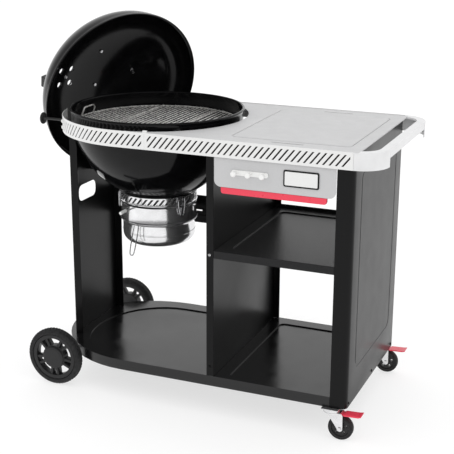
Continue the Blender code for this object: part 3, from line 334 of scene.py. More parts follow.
def softened(node, width, segments=2, mat=None):
    """The CAD node's own shape with its hard edges eased."""
    source = frame["nodes"][node]
    bm = bmesh.new()
    bm.from_mesh(source.data)
    bmesh.ops.remove_doubles(bm, verts=bm.verts, dist=2e-6)
    bmesh.ops.dissolve_limit(bm, angle_limit=math.radians(0.6), verts=bm.verts, edges=bm.edges)
    obj = add_piece(f"{node}_skin", bm, node, mat=mat)
    return bevel(obj, width, segments)


def carve(obj, bm, matrix=None):
    """Cut a shape out of a piece and keep the result as its mesh."""
    bmesh.ops.recalc_face_normals(bm, faces=bm.faces)
    if matrix is not None:
        bm.transform(matrix)
    mesh = bpy.data.meshes.new("cutter")
    bm.to_mesh(mesh)
    bm.free()
    cutter = bpy.data.objects.new("cutter", mesh)
    bpy.context.scene.collection.objects.link(cutter)
    step = obj.modifiers.new("cut", "BOOLEAN")
    step.operation = "DIFFERENCE"
    step.solver = "EXACT"
    step.object = cutter
    graph = bpy.context.evaluated_depsgraph_get()
    cut = bpy.data.meshes.new_from_object(obj.evaluated_get(graph), depsgraph=graph)
    obj.modifiers.remove(step)
    bpy.data.objects.remove(cutter)
    obj.data = cut
    cut.set_sharp_from_angle(angle=math.radians(32.0))
    return obj


def loft(loops, closed=False, bm=None):
    bm = bm or bmesh.new()
    rings = [[bm.verts.new(point) for point in loop] for loop in loops]
    pairs = list(zip(rings, rings[1:]))
    if closed:
        pairs.append((rings[-1], rings[0]))
    for low, high in pairs:
        for i in range(len(low)):
            j = (i + 1) % len(low)
            bm.faces.new((low[i], low[j], high[j], high[i]))
    if not closed:
        bm.faces.new(rings[0])
        bm.faces.new(rings[-1])
    return bm


def prism(outline, z0, z1, bm=None):
    return loft([[(x, y, z) for x, y in outline] for z in (z0, z1)], bm=bm)


def revolve(profile, segments=ROUND, bm=None, closed=True):
    """Turn (radius, height) points about Z; radius 0 makes a pole."""
    bm = bm or bmesh.new()
    rings = []
    for radius, z in profile:
        if radius < 1e-9:
            rings.append([bm.verts.new((0.0, 0.0, z))])
            continue
        turn = [2.0 * math.pi * i / segments for i in range(segments)]
        rings.append([bm.verts.new((radius * math.cos(a), radius * math.sin(a), z)) for a in turn])
    pairs = list(zip(rings, rings[1:]))
    if closed:
        pairs.append((rings[-1], rings[0]))
    for first, second in pairs:
        if len(first) == 1 and len(second) == 1:
            continue
        for i in range(segments):
            j = (i + 1) % segments
            corners = [first[i % len(first)], first[j % len(first)]]
            corners += [second[j % len(second)], second[i % len(second)]]
            bm.faces.new(list(dict.fromkeys(corners)))
    return bm


def bore(radius, half, steps):
    """Round cutter along Z, for a drilled hole."""
    return revolve([(0.0, -half), (radius, -half), (radius, half), (0.0, half)], steps, closed=False)


def tube(points, radius, sides=12, closed=False, bm=None):
    """Round wire along points, with frames carried along the path."""
    path = [Vector(p) for p in points]
    count = len(path)
    loops = []
    side = None
    for i, here in enumerate(path):
        before = path[i - 1] if closed or i > 0 else here
        after = path[(i + 1) % count] if closed or i < count - 1 else here
        heading = ((after - here).normalized() + (here - before).normalized()).normalized()
        if side is None:
            guide = Vector((0.0, 0.0, 1.0)) if abs(heading.z) < 0.9 else Vector((1.0, 0.0, 0.0))
            side = heading.cross(guide).normalized()
        side = (side - heading * side.dot(heading)).normalized()
        other = heading.cross(side)
        turn = [2.0 * math.pi * k / sides for k in range(sides)]
        loops.append([here + radius * (math.cos(a) * side + math.sin(a) * other) for a in turn])
    return loft(loops, closed, bm)


def smooth_path(points, steps=8, closed=False):
    """Catmull-Rom curve through the points."""
    pts = [Vector(p) for p in points]
    count = len(pts)
    out = []
    spans = count if closed else count - 1
    for i in range(spans):
        if closed:
            a, b, c, d = (pts[(i + k - 1) % count] for k in range(4))
        else:
            a, b, c, d = pts[max(i - 1, 0)], pts[i], pts[i + 1], pts[min(i + 2, count - 1)]
        for k in range(steps):
            t = k / steps
            out.append(0.5 * ((2 * b) + (c - a) * t + (2 * a - 5 * b + 4 * c - d) * t * t
                              + (3 * b - a - 3 * c + d) * t ** 3))
    if not closed:
        out.append(pts[-1])
    return out


def arc(centre, radius, start_deg, end_deg, steps):
    points = []
    for i in range(steps + 1):
        a = math.radians(start_deg + (end_deg - start_deg) * i / steps)
        points.append((centre[0] + radius * math.cos(a), centre[1] + radius * math.sin(a)))
    return points


def rounded_box(x0, x1, y0, y1, radius, steps=8):
    points = arc((x1 - radius, y0 + radius), radius, -90, 0, steps)
    points += arc((x1 - radius, y1 - radius), radius, 0, 90, steps)
    points += arc((x0 + radius, y1 - radius), radius, 90, 180, steps)
    points += arc((x0 + radius, y0 + radius), radius, 180, 270, steps)
    return points


def at_kettle(x=0.0, y=0.0, z=0.0):
    """Matrix to a place measured from the kettle's axis at floor level."""
    return Matrix.Translation(KETTLE + Vector((x, y, z)))


def facing(place, outward):
    """Matrix that stands a shape's +Z along the outward direction at a place."""
    turn = Vector(outward).to_track_quat("Z", "Y").to_matrix().to_4x4()
    return Matrix.Translation(place) @ turn


def bolt_head(radius, height, bm=None):
    """Round-topped screw head."""
    dome = [(0.0, height), (radius * 0.5, height * 0.93), (radius * 0.85, height * 0.62)]
    dome += [(radius, height * 0.18), (radius, 0.0), (0.0, 0.0)]
    return revolve(dome, 24, bm, closed=False)


def screw(name, place, outward, body, radius=0.005, height=0.0026, mat=None):
    obj = add_piece(name, bolt_head(radius, height), body=body, slot="plated_wire", mat=mat,
                    matrix=facing(place, outward))
    half, deep = radius * 0.62, height * 0.55
    for wide in ((half, radius * 0.13), (radius * 0.13, half)):
        groove = [(-wide[0], -wide[1]), (wide[0], -wide[1]), (wide[0], wide[1]), (-wide[0], wide[1])]
        carve(obj, prism(groove, height - deep, height + 0.002), facing(place, outward))
    return obj


# ---------------------------------------------------------------- kettle

def bowl_curve(offset, start_deg, end_deg, steps):
    points = []
    for i in range(steps + 1):
        a = math.radians(start_deg + (end_deg - start_deg) * i / steps)
        points.append(((BOWL_R + offset) * math.cos(a), BOWL_EQUATOR - (BOWL_DEPTH + offset) * math.sin(a)))
    return points


def build_bowl():
    outer = bowl_curve(0.0, 0.0, 88.4, 40)
    inner = bowl_curve(-BOWL_WALL, 88.4, 0.0, 40)
    bead_r = 0.0042
    centre = (RIM_R - bead_r, RIM_TOP - bead_r)
    bead = [(x, z) for x, z in arc(centre, bead_r, 200.0, -55.0, 14)]
    bead += [(BOWL_R + 0.0015, BOWL_EQUATOR + 0.005), (BOWL_R + 0.0004, BOWL_EQUATOR + 0.002)]
    bowl = add_piece("bowl_shell", revolve(outer + inner + bead), "bowl", matrix=at_kettle())
    for i in range(3):
        middle = 120.0 * i + 33.0
        outline = arc((0.0, 0.0), 0.095, middle - 31, middle + 31, 16)
        outline += arc((0.0, 0.0), 0.045, middle + 27, middle - 27, 10)
        carve(bowl, prism(outline, 0.59, 0.71), at_kettle())
    for i in range(4):
        a = math.radians(45.0 + 90.0 * i)
        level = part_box("cooking_grate")[0].z - 0.002
        place = KETTLE + Vector((0.2812 * math.cos(a), 0.2812 * math.sin(a), level))
        tab = [(0.0, -0.011), (0.0, 0.011), (0.006, 0.010), (0.017, 0.006), (0.017, -0.006), (0.006, -0.010)]
        turn = Matrix.Translation(place) @ Matrix.Rotation(a + math.pi, 4, "Z")
        obj = add_piece(f"grate_tab_{i}", prism(tab, -0.002, 0.0005), body="cart", slot="plated_wire",
                        matrix=turn)
        bevel(obj, 0.0004)


def wires(name, node, rods, rings, mat=GRATE):
    """One welded wire grate from straight rods and closed rings."""
    bm = bmesh.new()
    for start, end, radius in rods:
        tube([start, end], radius, 8, bm=bm)
    for ring, radius in rings:
        tube(ring, radius, 10, True, bm=bm)
    return add_piece(name, bm, node, mat=mat, matrix=at_kettle(), sharp=60.0)


def slice_outline(r, left, right, z):
    """Perimeter of the disc between two chords, as points on one level."""
    def angle(x):
        return math.degrees(math.acos(max(-1.0, min(1.0, x / r))))
    if left <= -r or right >= r:
        chord = right if left <= -r else left
        swing = math.degrees(math.acos(abs(chord) / r))
        middle = 180.0 if left <= -r else 0.0
        return [(x, y, z) for x, y in arc((0, 0), r, middle - swing, middle + swing, 36)]
    points = arc((0, 0), r, angle(right), angle(left), 24)
    points += arc((0, 0), r, 360.0 - angle(left), 360.0 - angle(right), 24)
    return [(x, y, z) for x, y in points]


def chord_rods(xs, r, z, radius):
    return [((x, -math.sqrt(r * r - x * x), z), (x, math.sqrt(r * r - x * x), z), radius) for x in xs]


def build_grates():
    z = (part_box("grate_flap_left")[0].z) + 0.003
    r = 0.271
    pitch = 0.0155
    chord = 0.105
    count = 6
    middle_xs = [pitch * i for i in range(-count, count + 1)]
    rods = chord_rods(middle_xs, r, z, 0.0025)
    under = z - 0.0045
    rods += [((-chord, y, under), (chord, y, under), 0.0030) for y in (-0.012, 0.012)]
    wires("grate_centre_wires", "cooking_grate", rods, [(slice_outline(r, -chord, chord, z), 0.0030)])
    for side, sign in (("left", -1.0), ("right", 1.0)):
        inner = 0.1125
        xs = [sign * (inner + pitch * i) for i in range(1, 10)]
        left, right = (-1.0, -inner) if sign < 0 else (inner, 1.0)
        rods = chord_rods(xs, r, z, 0.0025)
        rods += [((sign * inner, y, under), (sign * 0.262, y, under), 0.0026) for y in (-0.045, 0.045)]
        edge = slice_outline(r, left, right, z)
        wires(f"grate_{side}_wires", f"grate_flap_{side}", rods, [(edge, 0.0030)])
        flap_loop(side, sign, z, r)


def flap_loop(side, sign, z, r):
    """Wire loop that lifts one flap."""
    grip = 0.040
    foot = sign * math.sqrt(r * r - grip * grip)
    reach = foot - sign * 0.010
    points = [(foot, -grip, z), (foot - sign * 0.006, -grip, z + 0.010), (reach, -grip + 0.002, z + 0.022)]
    points += [(reach, -grip + 0.012, z + 0.030), (reach, 0.0, z + 0.031)]
    points += [(x, -y, h) for x, y, h in reversed(points[:-1])]
    add_piece(f"flap_loop_{side}", tube(smooth_path(points, 6), 0.0028, 12), body=f"grate_flap_{side}",
              slot="plated_wire", mat=GRATE, matrix=at_kettle(), sharp=60.0)


def build_charcoal_grate():
    low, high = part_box("charcoal_grate")
    z = high.z - 0.0035
    r = (high.x - low.x) / 2.0 - 0.0035
    rods = chord_rods([0.030 * i for i in range(-6, 7)], r, z, 0.0030)
    rods += [((-r, y, z - 0.006), (r, y, z - 0.006), 0.0030) for y in (-0.05, 0.05)]
    ring = [(x, y, z) for x, y in arc((0, 0), r, 0.0, 355.0, 71)]
    wires("charcoal_wires", "charcoal_grate", rods, [(ring, 0.0035)])


# ---------------------------------------------------------------- ash catcher

def build_vent_ring():
    """Thin black ring under the bowl's vents, with rolled edges."""
    low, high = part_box("vent_ring")
    r = (high.x - low.x) / 2.0
    profile = [(r - 0.0020, high.z - 0.0003), (r - 0.0014, high.z), (r - 0.0005, high.z - 0.0004)]
    profile += [(r, high.z - 0.0013), (r, low.z + 0.0010), (r + 0.0012, low.z + 0.0004), (r + 0.0010, low.z)]
    profile.append((r - 0.0020, low.z))
    add_piece("vent_ring_band", revolve(profile, 120), "vent_ring", matrix=at_kettle())


def ring_place(r):
    """Maps a run along a circle about the kettle, at a depth behind its face, to a point."""
    def place(run, z, depth):
        a = run / r
        return (KETTLE.x + (r - depth) * math.cos(a), KETTLE.y + (r - depth) * math.sin(a), z)
    return place


def clipped(outline, edge, keep):
    """Part of a convex (run, z) outline on one side of a vertical cut; keep is +1 for above the edge."""
    kept = []
    for i, here in enumerate(outline):
        after = outline[(i + 1) % len(outline)]
        inside, next_inside = keep * (here[0] - edge) >= 0.0, keep * (after[0] - edge) >= 0.0
        if inside:
            kept.append(here)
        if inside != next_inside:
            t = (edge - here[0]) / (after[0] - here[0])
            kept.append((edge, here[1] + t * (after[1] - here[1])))
    return kept


def slanted_slots(place, start, end, low, high):
    """Cutters for a row of slanted slots, trimmed upright where the row starts and ends."""
    bm = bmesh.new()
    rise = (high - low) * SLOT_SLOPE
    count = int((end - start + rise) / SLOT_PITCH)
    for i in range(count):
        foot = start - rise + SLOT_PITCH * (i + 0.5)
        far = foot + SLOT_WIDTH
        outline = [(foot, low), (far, low), (far + rise, high), (foot + rise, high)]
        outline = clipped(clipped(outline, start, 1.0), end, -1.0)
        if len(outline) < 3 or max(run for run, z in outline) - min(run for run, z in outline) < 0.002:
            continue
        loft([[place(run, z, depth) for run, z in outline] for depth in (-0.005, 0.007)], bm=bm)
    return bm


def build_collar():
    """Bright collar with its row of slots between two rolled edges."""
    low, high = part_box("ash_collar")
    r = (high.x - low.x) / 2.0
    profile = [(r - 0.0016, high.z - 0.002), (r - 0.0004, high.z), (r + 0.0008, high.z - 0.0010)]
    profile += [(r, high.z - 0.0032), (r, low.z + 0.0040), (r + 0.0012, low.z + 0.0016)]
    profile += [(r + 0.0006, low.z), (r - 0.0016, low.z + 0.001)]
    band = add_piece("collar_band", revolve(profile, 168), "ash_collar", matrix=at_kettle())
    bottom, top = low.z + 0.0052, high.z - 0.0048
    pitch = 2.0 * math.pi * r / COLLAR_SLOTS
    wide = pitch * 0.46
    place = ring_place(r)
    bm = bmesh.new()
    for i in range(COLLAR_SLOTS):
        foot = pitch * (i + 0.37)
        rise = (top - bottom) * SLOT_SLOPE
        outline = [(foot, bottom), (foot + wide, bottom), (foot + wide + rise, top), (foot + rise, top)]
        loft([[place(run, z, depth) for run, z in outline] for depth in (-0.004, 0.006)], bm=bm)
    carve(band, bm)


def build_shroud():
    """Plain bright band between the lever and the pot, with eased rims."""
    low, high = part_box("ash_shroud")
    r = (high.x - low.x) / 2.0
    profile = [(r - 0.0015, high.z - 0.0006), (r - 0.0010, high.z), (r + 0.0006, high.z - 0.0006)]
    profile += [(r, high.z - 0.0028), (r, low.z + 0.0026), (r + 0.0008, low.z + 0.0008)]
    profile += [(r, low.z), (r - 0.0015, low.z + 0.0004)]
    add_piece("shroud_band", revolve(profile, ROUND), "ash_shroud", matrix=at_kettle())
    for i, azimuth in enumerate((4.0, 196.0)):
        a = math.radians(azimuth)
        catch = rounded_box(-0.011, 0.011, -0.010, 0.010, 0.004)
        place = KETTLE + Vector(((r - 0.0008) * math.cos(a), (r - 0.0008) * math.sin(a), high.z - 0.017))
        plate = add_piece(f"shroud_catch_{i}", prism(catch, 0.0, 0.0040), body="ash_pot", slot="bright_steel",
                          matrix=facing(place, (math.cos(a), math.sin(a), 0.0)))
        bevel(plate, 0.0010)


def build_ash_pot():
    low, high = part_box("ash_pot")
    rim = (high.x - low.x) / 2.0
    r = rim - 0.009
    corner = 0.034
    outer = [(x, z) for x, z in arc((rim - 0.0012, high.z - 0.0016), 0.0014, 170, -60, 10)]
    outer += [(rim - 0.0035, high.z - 0.0045), (r + 0.0016, high.z - 0.0082), (r, high.z - 0.0115)]
    outer += [(r, high.z - 0.040), (r + 0.0008, high.z - 0.0412)]
    outer += [(r + 0.0008, high.z - 0.0438), (r, high.z - 0.045)]
    outer += [(x, z) for x, z in arc((r - corner, low.z + corner), corner, 0, -90, 14)]
    outer += [(r - corner - 0.012, low.z + 0.0012), (r - corner - 0.016, low.z + 0.0024)]
    outer.append((0.0, low.z + 0.0024))
    inner = [(0.0, low.z + 0.0040)]
    inner += [(x, z) for x, z in arc((r - corner, low.z + corner), corner - 0.0018, -86, 0, 12)]
    inner += [(r - 0.0018, high.z - 0.012), (rim - 0.0052, high.z - 0.0040), (rim - 0.0028, high.z - 0.0014)]
    add_piece("ash_pot_can", revolve(outer + inner, ROUND), "ash_pot", matrix=at_kettle())


def wire_loop(node):
    """Smooth version of a CAD wire loop."""
    source = frame["nodes"][node]
    bm = bmesh.new()
    bm.from_mesh(source.data)
    bmesh.ops.remove_doubles(bm, verts=bm.verts, dist=2e-6)
    obj = add_piece(f"{node}_wire", bm, node, mat=MATERIALS["plated_wire"], sharp=70.0)
    smooth = obj.modifiers.new("smooth", "SUBSURF")
    smooth.levels = 2
    smooth.render_levels = 2
    return obj


def build_sweep():
    softened("ash_sweep", 0.0003)
    softened("sweep_lever", 0.0012)
    softened("sweep_lever_grip", 0.0012)


# ---------------------------------------------------------------- lid

def lid_frame():
    """Matrix from the closed lid's own frame to where the lid hangs at rest."""
    joint = next(j for j in frame["joints"] if j["name"] == "lid_close")
    pivot = Vector(joint["pos_m"])
    back = Matrix.Rotation(-math.radians(joint["range_deg"][1]), 4, Vector(joint["axis"]))
    shut = Matrix.Translation(KETTLE + Vector((0.0, 0.0, LID_CLOSED)))
    return Matrix.Translation(pivot) @ back @ Matrix.Translation(-pivot) @ shut


def dome_height(radius):
    return LID_SKIRT + LID_RISE * math.sqrt(1.0 - (radius / LID_DOME_R) ** 2)


def dome_frame(radius, azimuth_deg, lift=0.0):
    """Frame on the dome, +Z out of the lid and +X away from its crown."""
    steep = LID_RISE * radius / (LID_DOME_R ** 2 * math.sqrt(1.0 - (radius / LID_DOME_R) ** 2))
    spin = Matrix.Rotation(math.radians(azimuth_deg), 4, "Z")
    lean = Matrix.Rotation(math.atan(steep), 4, "Y")
    seat = spin @ Matrix.Translation((radius, 0.0, dome_height(radius))) @ lean
    return seat @ Matrix.Translation((0.0, 0.0, lift))


def lid_curve(offset, start_deg, end_deg, steps):
    points = []
    for i in range(steps + 1):
        a = math.radians(start_deg + (end_deg - start_deg) * i / steps)
        points.append(((LID_DOME_R + offset) * math.cos(a), LID_SKIRT + (LID_RISE + offset) * math.sin(a)))
    return points


def build_lid():
    place = lid_frame()
    outer = [(LID_R, 0.0012), (LID_R, 0.0095), (LID_R - 0.0012, 0.0118), (LID_DOME_R + 0.0012, 0.0135)]
    outer += lid_curve(0.0, 3.0, 89.0, 44)
    outer.append((0.0, LID_SKIRT + LID_RISE))
    inner = [(0.0, LID_SKIRT + LID_RISE - LID_WALL)] + lid_curve(-LID_WALL, 89.0, 0.0, 44)
    inner += [(LID_DOME_R - LID_WALL - 0.001, LID_LEDGE + 0.001), (LID_DOME_R - LID_WALL, LID_LEDGE)]
    inner += [(LID_R - LID_WALL - 0.0008, LID_LEDGE), (LID_R - LID_WALL, LID_LEDGE - 0.001)]
    inner += [(LID_R - LID_WALL, 0.0014), (LID_R - LID_WALL / 2.0, 0.0)]
    shell = add_piece("lid_dome", revolve(outer + inner, ROUND, closed=True), "lid_shell", matrix=place)
    seat = place @ dome_frame(DAMPER_R, DAMPER_AZIMUTH)
    for i in range(4):
        a = math.radians(DAMPER_TURN + 90.0 * i)
        spot = Matrix.Translation((DAMPER_HOLES * math.cos(a), DAMPER_HOLES * math.sin(a), 0.0))
        hole = bore(DAMPER_BORE, 0.02, 28)
        carve(shell, hole, seat @ spot)
    dial = place @ dome_frame(0.135, DIAL_AZIMUTH)
    carve(shell, bore(0.005, 0.02, 20), dial)
    build_lid_fittings(place, seat, dial)


def build_lid_fittings(place, seat, dial):
    softened("lid_handle", 0.0012, 2)
    softened("lid_handle_shield", 0.0005, 1)
    softened("lid_damper", 0.0004, 1)
    softened("lid_damper_grip", 0.0020, 3)
    softened("lid_thermometer", 0.0005, 2)
    nut = [(0.0, -0.0085), (0.0065, -0.0085), (0.0075, -0.0070), (0.0075, -0.0026), (0.0, -0.0026)]
    add_piece("thermometer_nut", revolve(nut, 6), body="lid", slot="plated_wire", matrix=dial, sharp=20.0)
    rivet = [(0.0, -0.0062), (0.004, -0.0058), (0.0062, -0.0042), (0.0066, -0.0026), (0.0, -0.0026)]
    add_piece("damper_rivet", revolve(rivet, 24), body="lid", slot="plated_wire", matrix=seat)
    turn = Matrix.Rotation(math.radians(HANDLE_AZIMUTH), 4, "Z")
    for end in (-0.066, 0.066):
        inside = LID_SKIRT + (LID_RISE - LID_WALL) * math.sqrt(1.0 - (end / (LID_DOME_R - LID_WALL)) ** 2)
        spot = place @ turn @ Matrix.Translation((end, 0.0, inside))
        head = [(0.0, -0.0052), (0.0052, -0.0046), (0.0062, -0.0020), (0.0062, 0.0012), (0.0, 0.0012)]
        tag = "a" if end < 0 else "b"
        add_piece(f"handle_bolt_{tag}", revolve(head, 24), body="lid", slot="plated_wire", matrix=spot)


# ---------------------------------------------------------------- cart

def build_cart():
    softened("base_shelf", 0.0030, 3, BASE)
    softened("middle_shelf", 0.0026, 3, SHELF_WITH_PAINTED_GLINTS)
    softened("centre_divider", 0.0007, 2)
    softened("right_side_panel", 0.0009, 2)
    softened("left_leg", 0.0007, 2)
    softened("back_brace", 0.0005, 1)
    softened("bowl_bracket_left", 0.0008, 1)
    softened("bowl_bracket_right", 0.0008, 1)
    for node in ("axle_bracket_front", "axle_bracket_rear"):
        softened(node, 0.0005, 1)
    cart_screws()


def cart_screws():
    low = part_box("centre_divider")[0]
    front = low.y
    dark = MATERIALS["cart_paint"]
    places = [("divider_screw", (low.x + 0.0108, front, 0.538), (0, -1, 0), None)]
    places.append(("divider_screw_low", (low.x + 0.0108, front, 0.168), (0, -1, 0), dark))
    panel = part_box("right_side_panel")[1].x
    for tag, y in (("a", -0.277), ("b", -0.0175), ("c", 0.2230)):
        places.append((f"panel_screw_{tag}", (panel, KETTLE.y + y, 0.116), (1, 0, 0), dark))
    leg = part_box("left_leg")[0].x
    for tag, y, z in (("a", -0.120, 0.168), ("b", 0.110, 0.168), ("c", -0.120, 0.548), ("d", 0.110, 0.548)):
        places.append((f"leg_screw_{tag}", (leg, KETTLE.y + y, z), (-1, 0, 0), None))
    for name, place, outward, mat in places:
        screw(name, Vector(place), outward, "cart", mat=mat)


def build_front_panel():
    softened("front_apron", 0.0010, 2)
    softened("accent_bar", 0.0012, 3)
    softened("badge_plate", 0.0008, 2)
    low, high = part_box("badge_plate")
    face = rounded_box(low.x + 0.0045, high.x - 0.0045, low.z + 0.0045, high.z - 0.0045, 0.0030)
    loops = [[(x, y, z) for x, z in face] for y in (low.y + 0.0004, low.y - 0.0007)]
    bevel(add_piece("badge_face", loft(loops), body="cart", slot="rail_paint"), 0.0004)
    build_tool_hooks()


def build_tool_hooks():
    """White hook plate with three mushroom pegs."""
    low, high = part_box("tool_hooks")
    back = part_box("front_apron")[0].y
    middle = (low.z + high.z) / 2.0
    bm = bmesh.new()
    outline = rounded_box(low.x, high.x, middle - 0.008, middle + 0.008, 0.0075)
    loops = [[(x, y, z) for x, z in outline] for y in (back - 0.0022, back - 0.0003)]
    loft(loops, bm=bm)
    plate = add_piece("hook_plate", bm, "tool_hooks")
    bevel(plate, 0.0006)
    for i, x in enumerate((0.403, 0.448, 0.492)):
        peg = [(0.0, 0.0), (0.0046, 0.0), (0.0046, 0.012), (0.0056, 0.0155), (0.0086, 0.0185)]
        peg += [(0.0088, 0.0215), (0.0072, 0.0240), (0.0, 0.0250)]
        place = Vector((KETTLE.x + x, back - 0.0020, middle))
        add_piece(f"hook_peg_{i}", revolve(peg, 28, closed=False), body="cart", slot="white_plastic",
                  matrix=facing(place, (0, -1, 0)))


def build_table():
    """Table skin with a bowl cut-out, a softly raised panel and two slots."""
    low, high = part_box("table_top")
    top = high.z - 0.0015
    thick = 0.003
    x1, y0, y1 = high.x, low.y, high.y
    cut_r = 0.300
    back_deg = math.degrees(math.asin((y1 - KETTLE.y) / cut_r))
    edge = [(KETTLE.x + x, KETTLE.y + y) for x, y in arc((0, 0), cut_r, -84.0, back_deg, 90)]
    edge += [(x1 - 0.005, y1), (x1, y1 - 0.005), (x1, y0 + 0.005), (x1 - 0.005, y0), (edge[0][0], y0)]
    table = add_piece("table_skin", prism(edge, top - thick, top), "table_top")
    for y in (-0.266, 0.239):
        y += KETTLE.y
        slot = rounded_box(KETTLE.x + 0.497, KETTLE.x + 0.597, y - 0.003, y + 0.003, 0.0029)
        carve(table, prism(slot, top - 0.01, top + 0.01))
    panel_x = (KETTLE.x + 0.360, KETTLE.x + 0.730)
    panel_y = (KETTLE.y - 0.240, KETTLE.y + 0.218)
    outer = rounded_box(panel_x[0] - 0.0024, panel_x[1] + 0.0024,
                        panel_y[0] - 0.0024, panel_y[1] + 0.0024, 0.0204)
    inner = rounded_box(panel_x[0] - 0.0002, panel_x[1] + 0.0002,
                        panel_y[0] - 0.0002, panel_y[1] + 0.0002, 0.0182)
    groove = [[(x, y, z) for x, y in line] for line, z in ((outer, top - 0.0018), (outer, top + 0.01),
                                                          (inner, top + 0.01), (inner, top - 0.0018))]
    carve(table, loft(groove, closed=True))
    bevel(table, 0.0007, 2, 40.0)
    loops = []
    for inset, z in ((0.0, 0.0001), (0.0012, 0.0006), (0.0026, 0.0012), (0.0042, 0.0015)):
        outline = rounded_box(panel_x[0] + inset, panel_x[1] - inset, panel_y[0] + inset, panel_y[1] - inset,
                              0.018 - inset * 0.6)
        loops.append([(x, y, top + z) for x, y in outline])
    add_piece("table_panel", loft(loops), body="cart", slot="table_paint", sharp=60.0)


def rail_place(run, z, depth):
    """Run along the front rail's face: negative is the arc left of the kettle, positive is straight."""
    if run >= 0.0:
        return (KETTLE.x + run, KETTLE.y - RAIL_R + depth, z)
    a = run / RAIL_R
    return (KETTLE.x + (RAIL_R - depth) * math.sin(a), KETTLE.y - (RAIL_R - depth) * math.cos(a), z)


def slotted_rail(node, start, end):
    """One length of rail: a sheet strip with eased edges and its row of slanted slots."""
    low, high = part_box(node)
    bends = sorted({start, end, 0.0} | {-0.006 * i for i in range(1, 75)})
    runs = [run for run in bends if start <= run <= end]
    section = [(low.z, 0.0004), (low.z, 0.0016), (low.z + 0.0004, 0.0020), (high.z - 0.0004, 0.0020)]
    section += [(high.z, 0.0016), (high.z, 0.0004), (high.z - 0.0004, 0.0), (low.z + 0.0004, 0.0)]
    strip = loft([[rail_place(run, z, depth) for z, depth in section] for run in runs])
    rail = add_piece(f"{node}_strip", strip, node)
    bottom, top = low.z + 0.0085, high.z - 0.0085
    carve(rail, slanted_slots(rail_place, start + 0.009, end - 0.009, bottom, top))


def build_rails():
    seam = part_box("rail_front")[0].x - KETTLE.x
    slotted_rail("rail_left", -RAIL_R * math.radians(78.0), seam - 0.0003)
    slotted_rail("rail_front", seam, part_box("rail_front")[1].x - KETTLE.x)
    softened("rail_back", 0.0004, 1)
    low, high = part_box("rail_front")
    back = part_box("front_apron")[0].y
    # Dark sheet behind the front rail's slots: painted shade standing in for the shadowed inside of the cart.
    shade_outline = rounded_box(low.x + 0.004, high.x - 0.004, low.z + 0.003, high.z - 0.006, 0.002, 3)
    sheet = loft([[(x, y, z) for x, z in shade_outline] for y in (back - 0.0024, back - 0.0014)])
    bevel(add_piece("rail_slot_shade_sheet", sheet, body="cart", slot="cart_paint"), 0.0003)
    build_end_handle()
    middle = (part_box("rail_left")[0].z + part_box("rail_left")[1].z) / 2.0
    a = math.radians(208.0)
    outward = (math.cos(a), math.sin(a), 0.0)
    for i, z in enumerate((middle + 0.001, middle - 0.019)):
        place = KETTLE + Vector((RAIL_R * outward[0], RAIL_R * outward[1], z))
        screw(f"rail_screw_{i}", place, outward, "cart", 0.006, 0.0045, MATERIALS["white_plastic"])
    seam_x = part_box("rail_front")[0].x
    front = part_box("rail_front")[0].y
    clip = rounded_box(seam_x - 0.007, seam_x + 0.007, front + 0.0022, front + 0.010, 0.002)
    obj = add_piece("rail_clip", prism(clip, middle - 0.020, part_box("rail_front")[1].z + 0.006), body="cart",
                    slot="rail_paint")
    bevel(obj, 0.0008)


def build_end_handle():
    """Moulded corners and grab bar, with eased edges."""
    low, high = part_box("end_handle")
    x0 = low.x
    r = high.x - x0
    y_front, y_back = low.y, high.y
    wide = 0.028
    centre_f = (x0, y_front + r)
    centre_b = (x0, y_back - r)
    edge_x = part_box("table_top")[1].x + 0.0003
    clip = math.degrees(math.acos((edge_x - x0) / r))
    clip_in = math.degrees(math.acos((edge_x - x0) / (r - wide)))
    outline = arc(centre_f, r, -clip, 0, 20) + arc(centre_b, r, 0, clip, 20)
    outline += arc(centre_b, r - wide, clip_in, 0, 16) + arc(centre_f, r - wide, 0, -clip_in, 16)
    top = add_piece("handle_cap", prism(outline, high.z - 0.008, high.z), "end_handle", mat=HANDLE)
    bevel(top, 0.0025, 3)
    for tag, centre, start in (("front", centre_f, -90.0), ("back", centre_b, 0.0)):
        band = arc(centre, r, start, start + 90.0, 24)
        band += arc(centre, r - 0.003, start + 90.0, start, 24)
        skirt = prism(band, low.z, high.z - 0.0012)
        obj = add_piece(f"handle_skirt_{tag}", skirt, body="cart", slot="rail_paint", mat=HANDLE)
        bevel(obj, 0.0008)
    bar = [(high.x - wide, high.z - 0.028), (high.x, high.z - 0.028), (high.x, high.z - 0.0012),
           (high.x - wide, high.z - 0.0012)]
    loops = [[(x, y, z) for x, z in bar] for y in (centre_f[1], centre_b[1])]
    obj = add_piece("handle_bar", loft(loops), body="cart", slot="rail_paint", mat=HANDLE)
    bevel(obj, 0.005, 4)
    build_handle_lugs(high.x - wide / 2.0, (y_front + r - 0.012, y_back - r + 0.012), high.z - 0.028)


def build_handle_lugs(x, ends, top):
    """Small eye under each end of the grab bar."""
    for tag, y in (("front", ends[0]), ("back", ends[1])):
        face = rounded_box(-0.009, 0.009, top - 0.010, top + 0.003, 0.004, 5)
        block = loft([[(x + side, y + u, v) for u, v in face] for side in (-0.006, 0.006)])
        lug = add_piece(f"handle_lug_{tag}", block, body="cart", slot="rail_paint", mat=HANDLE)
        hole = bore(0.0030, 0.02, 16)
        carve(lug, hole, facing((x, y, top - 0.0045), (1, 0, 0)))
        bevel(lug, 0.0010)


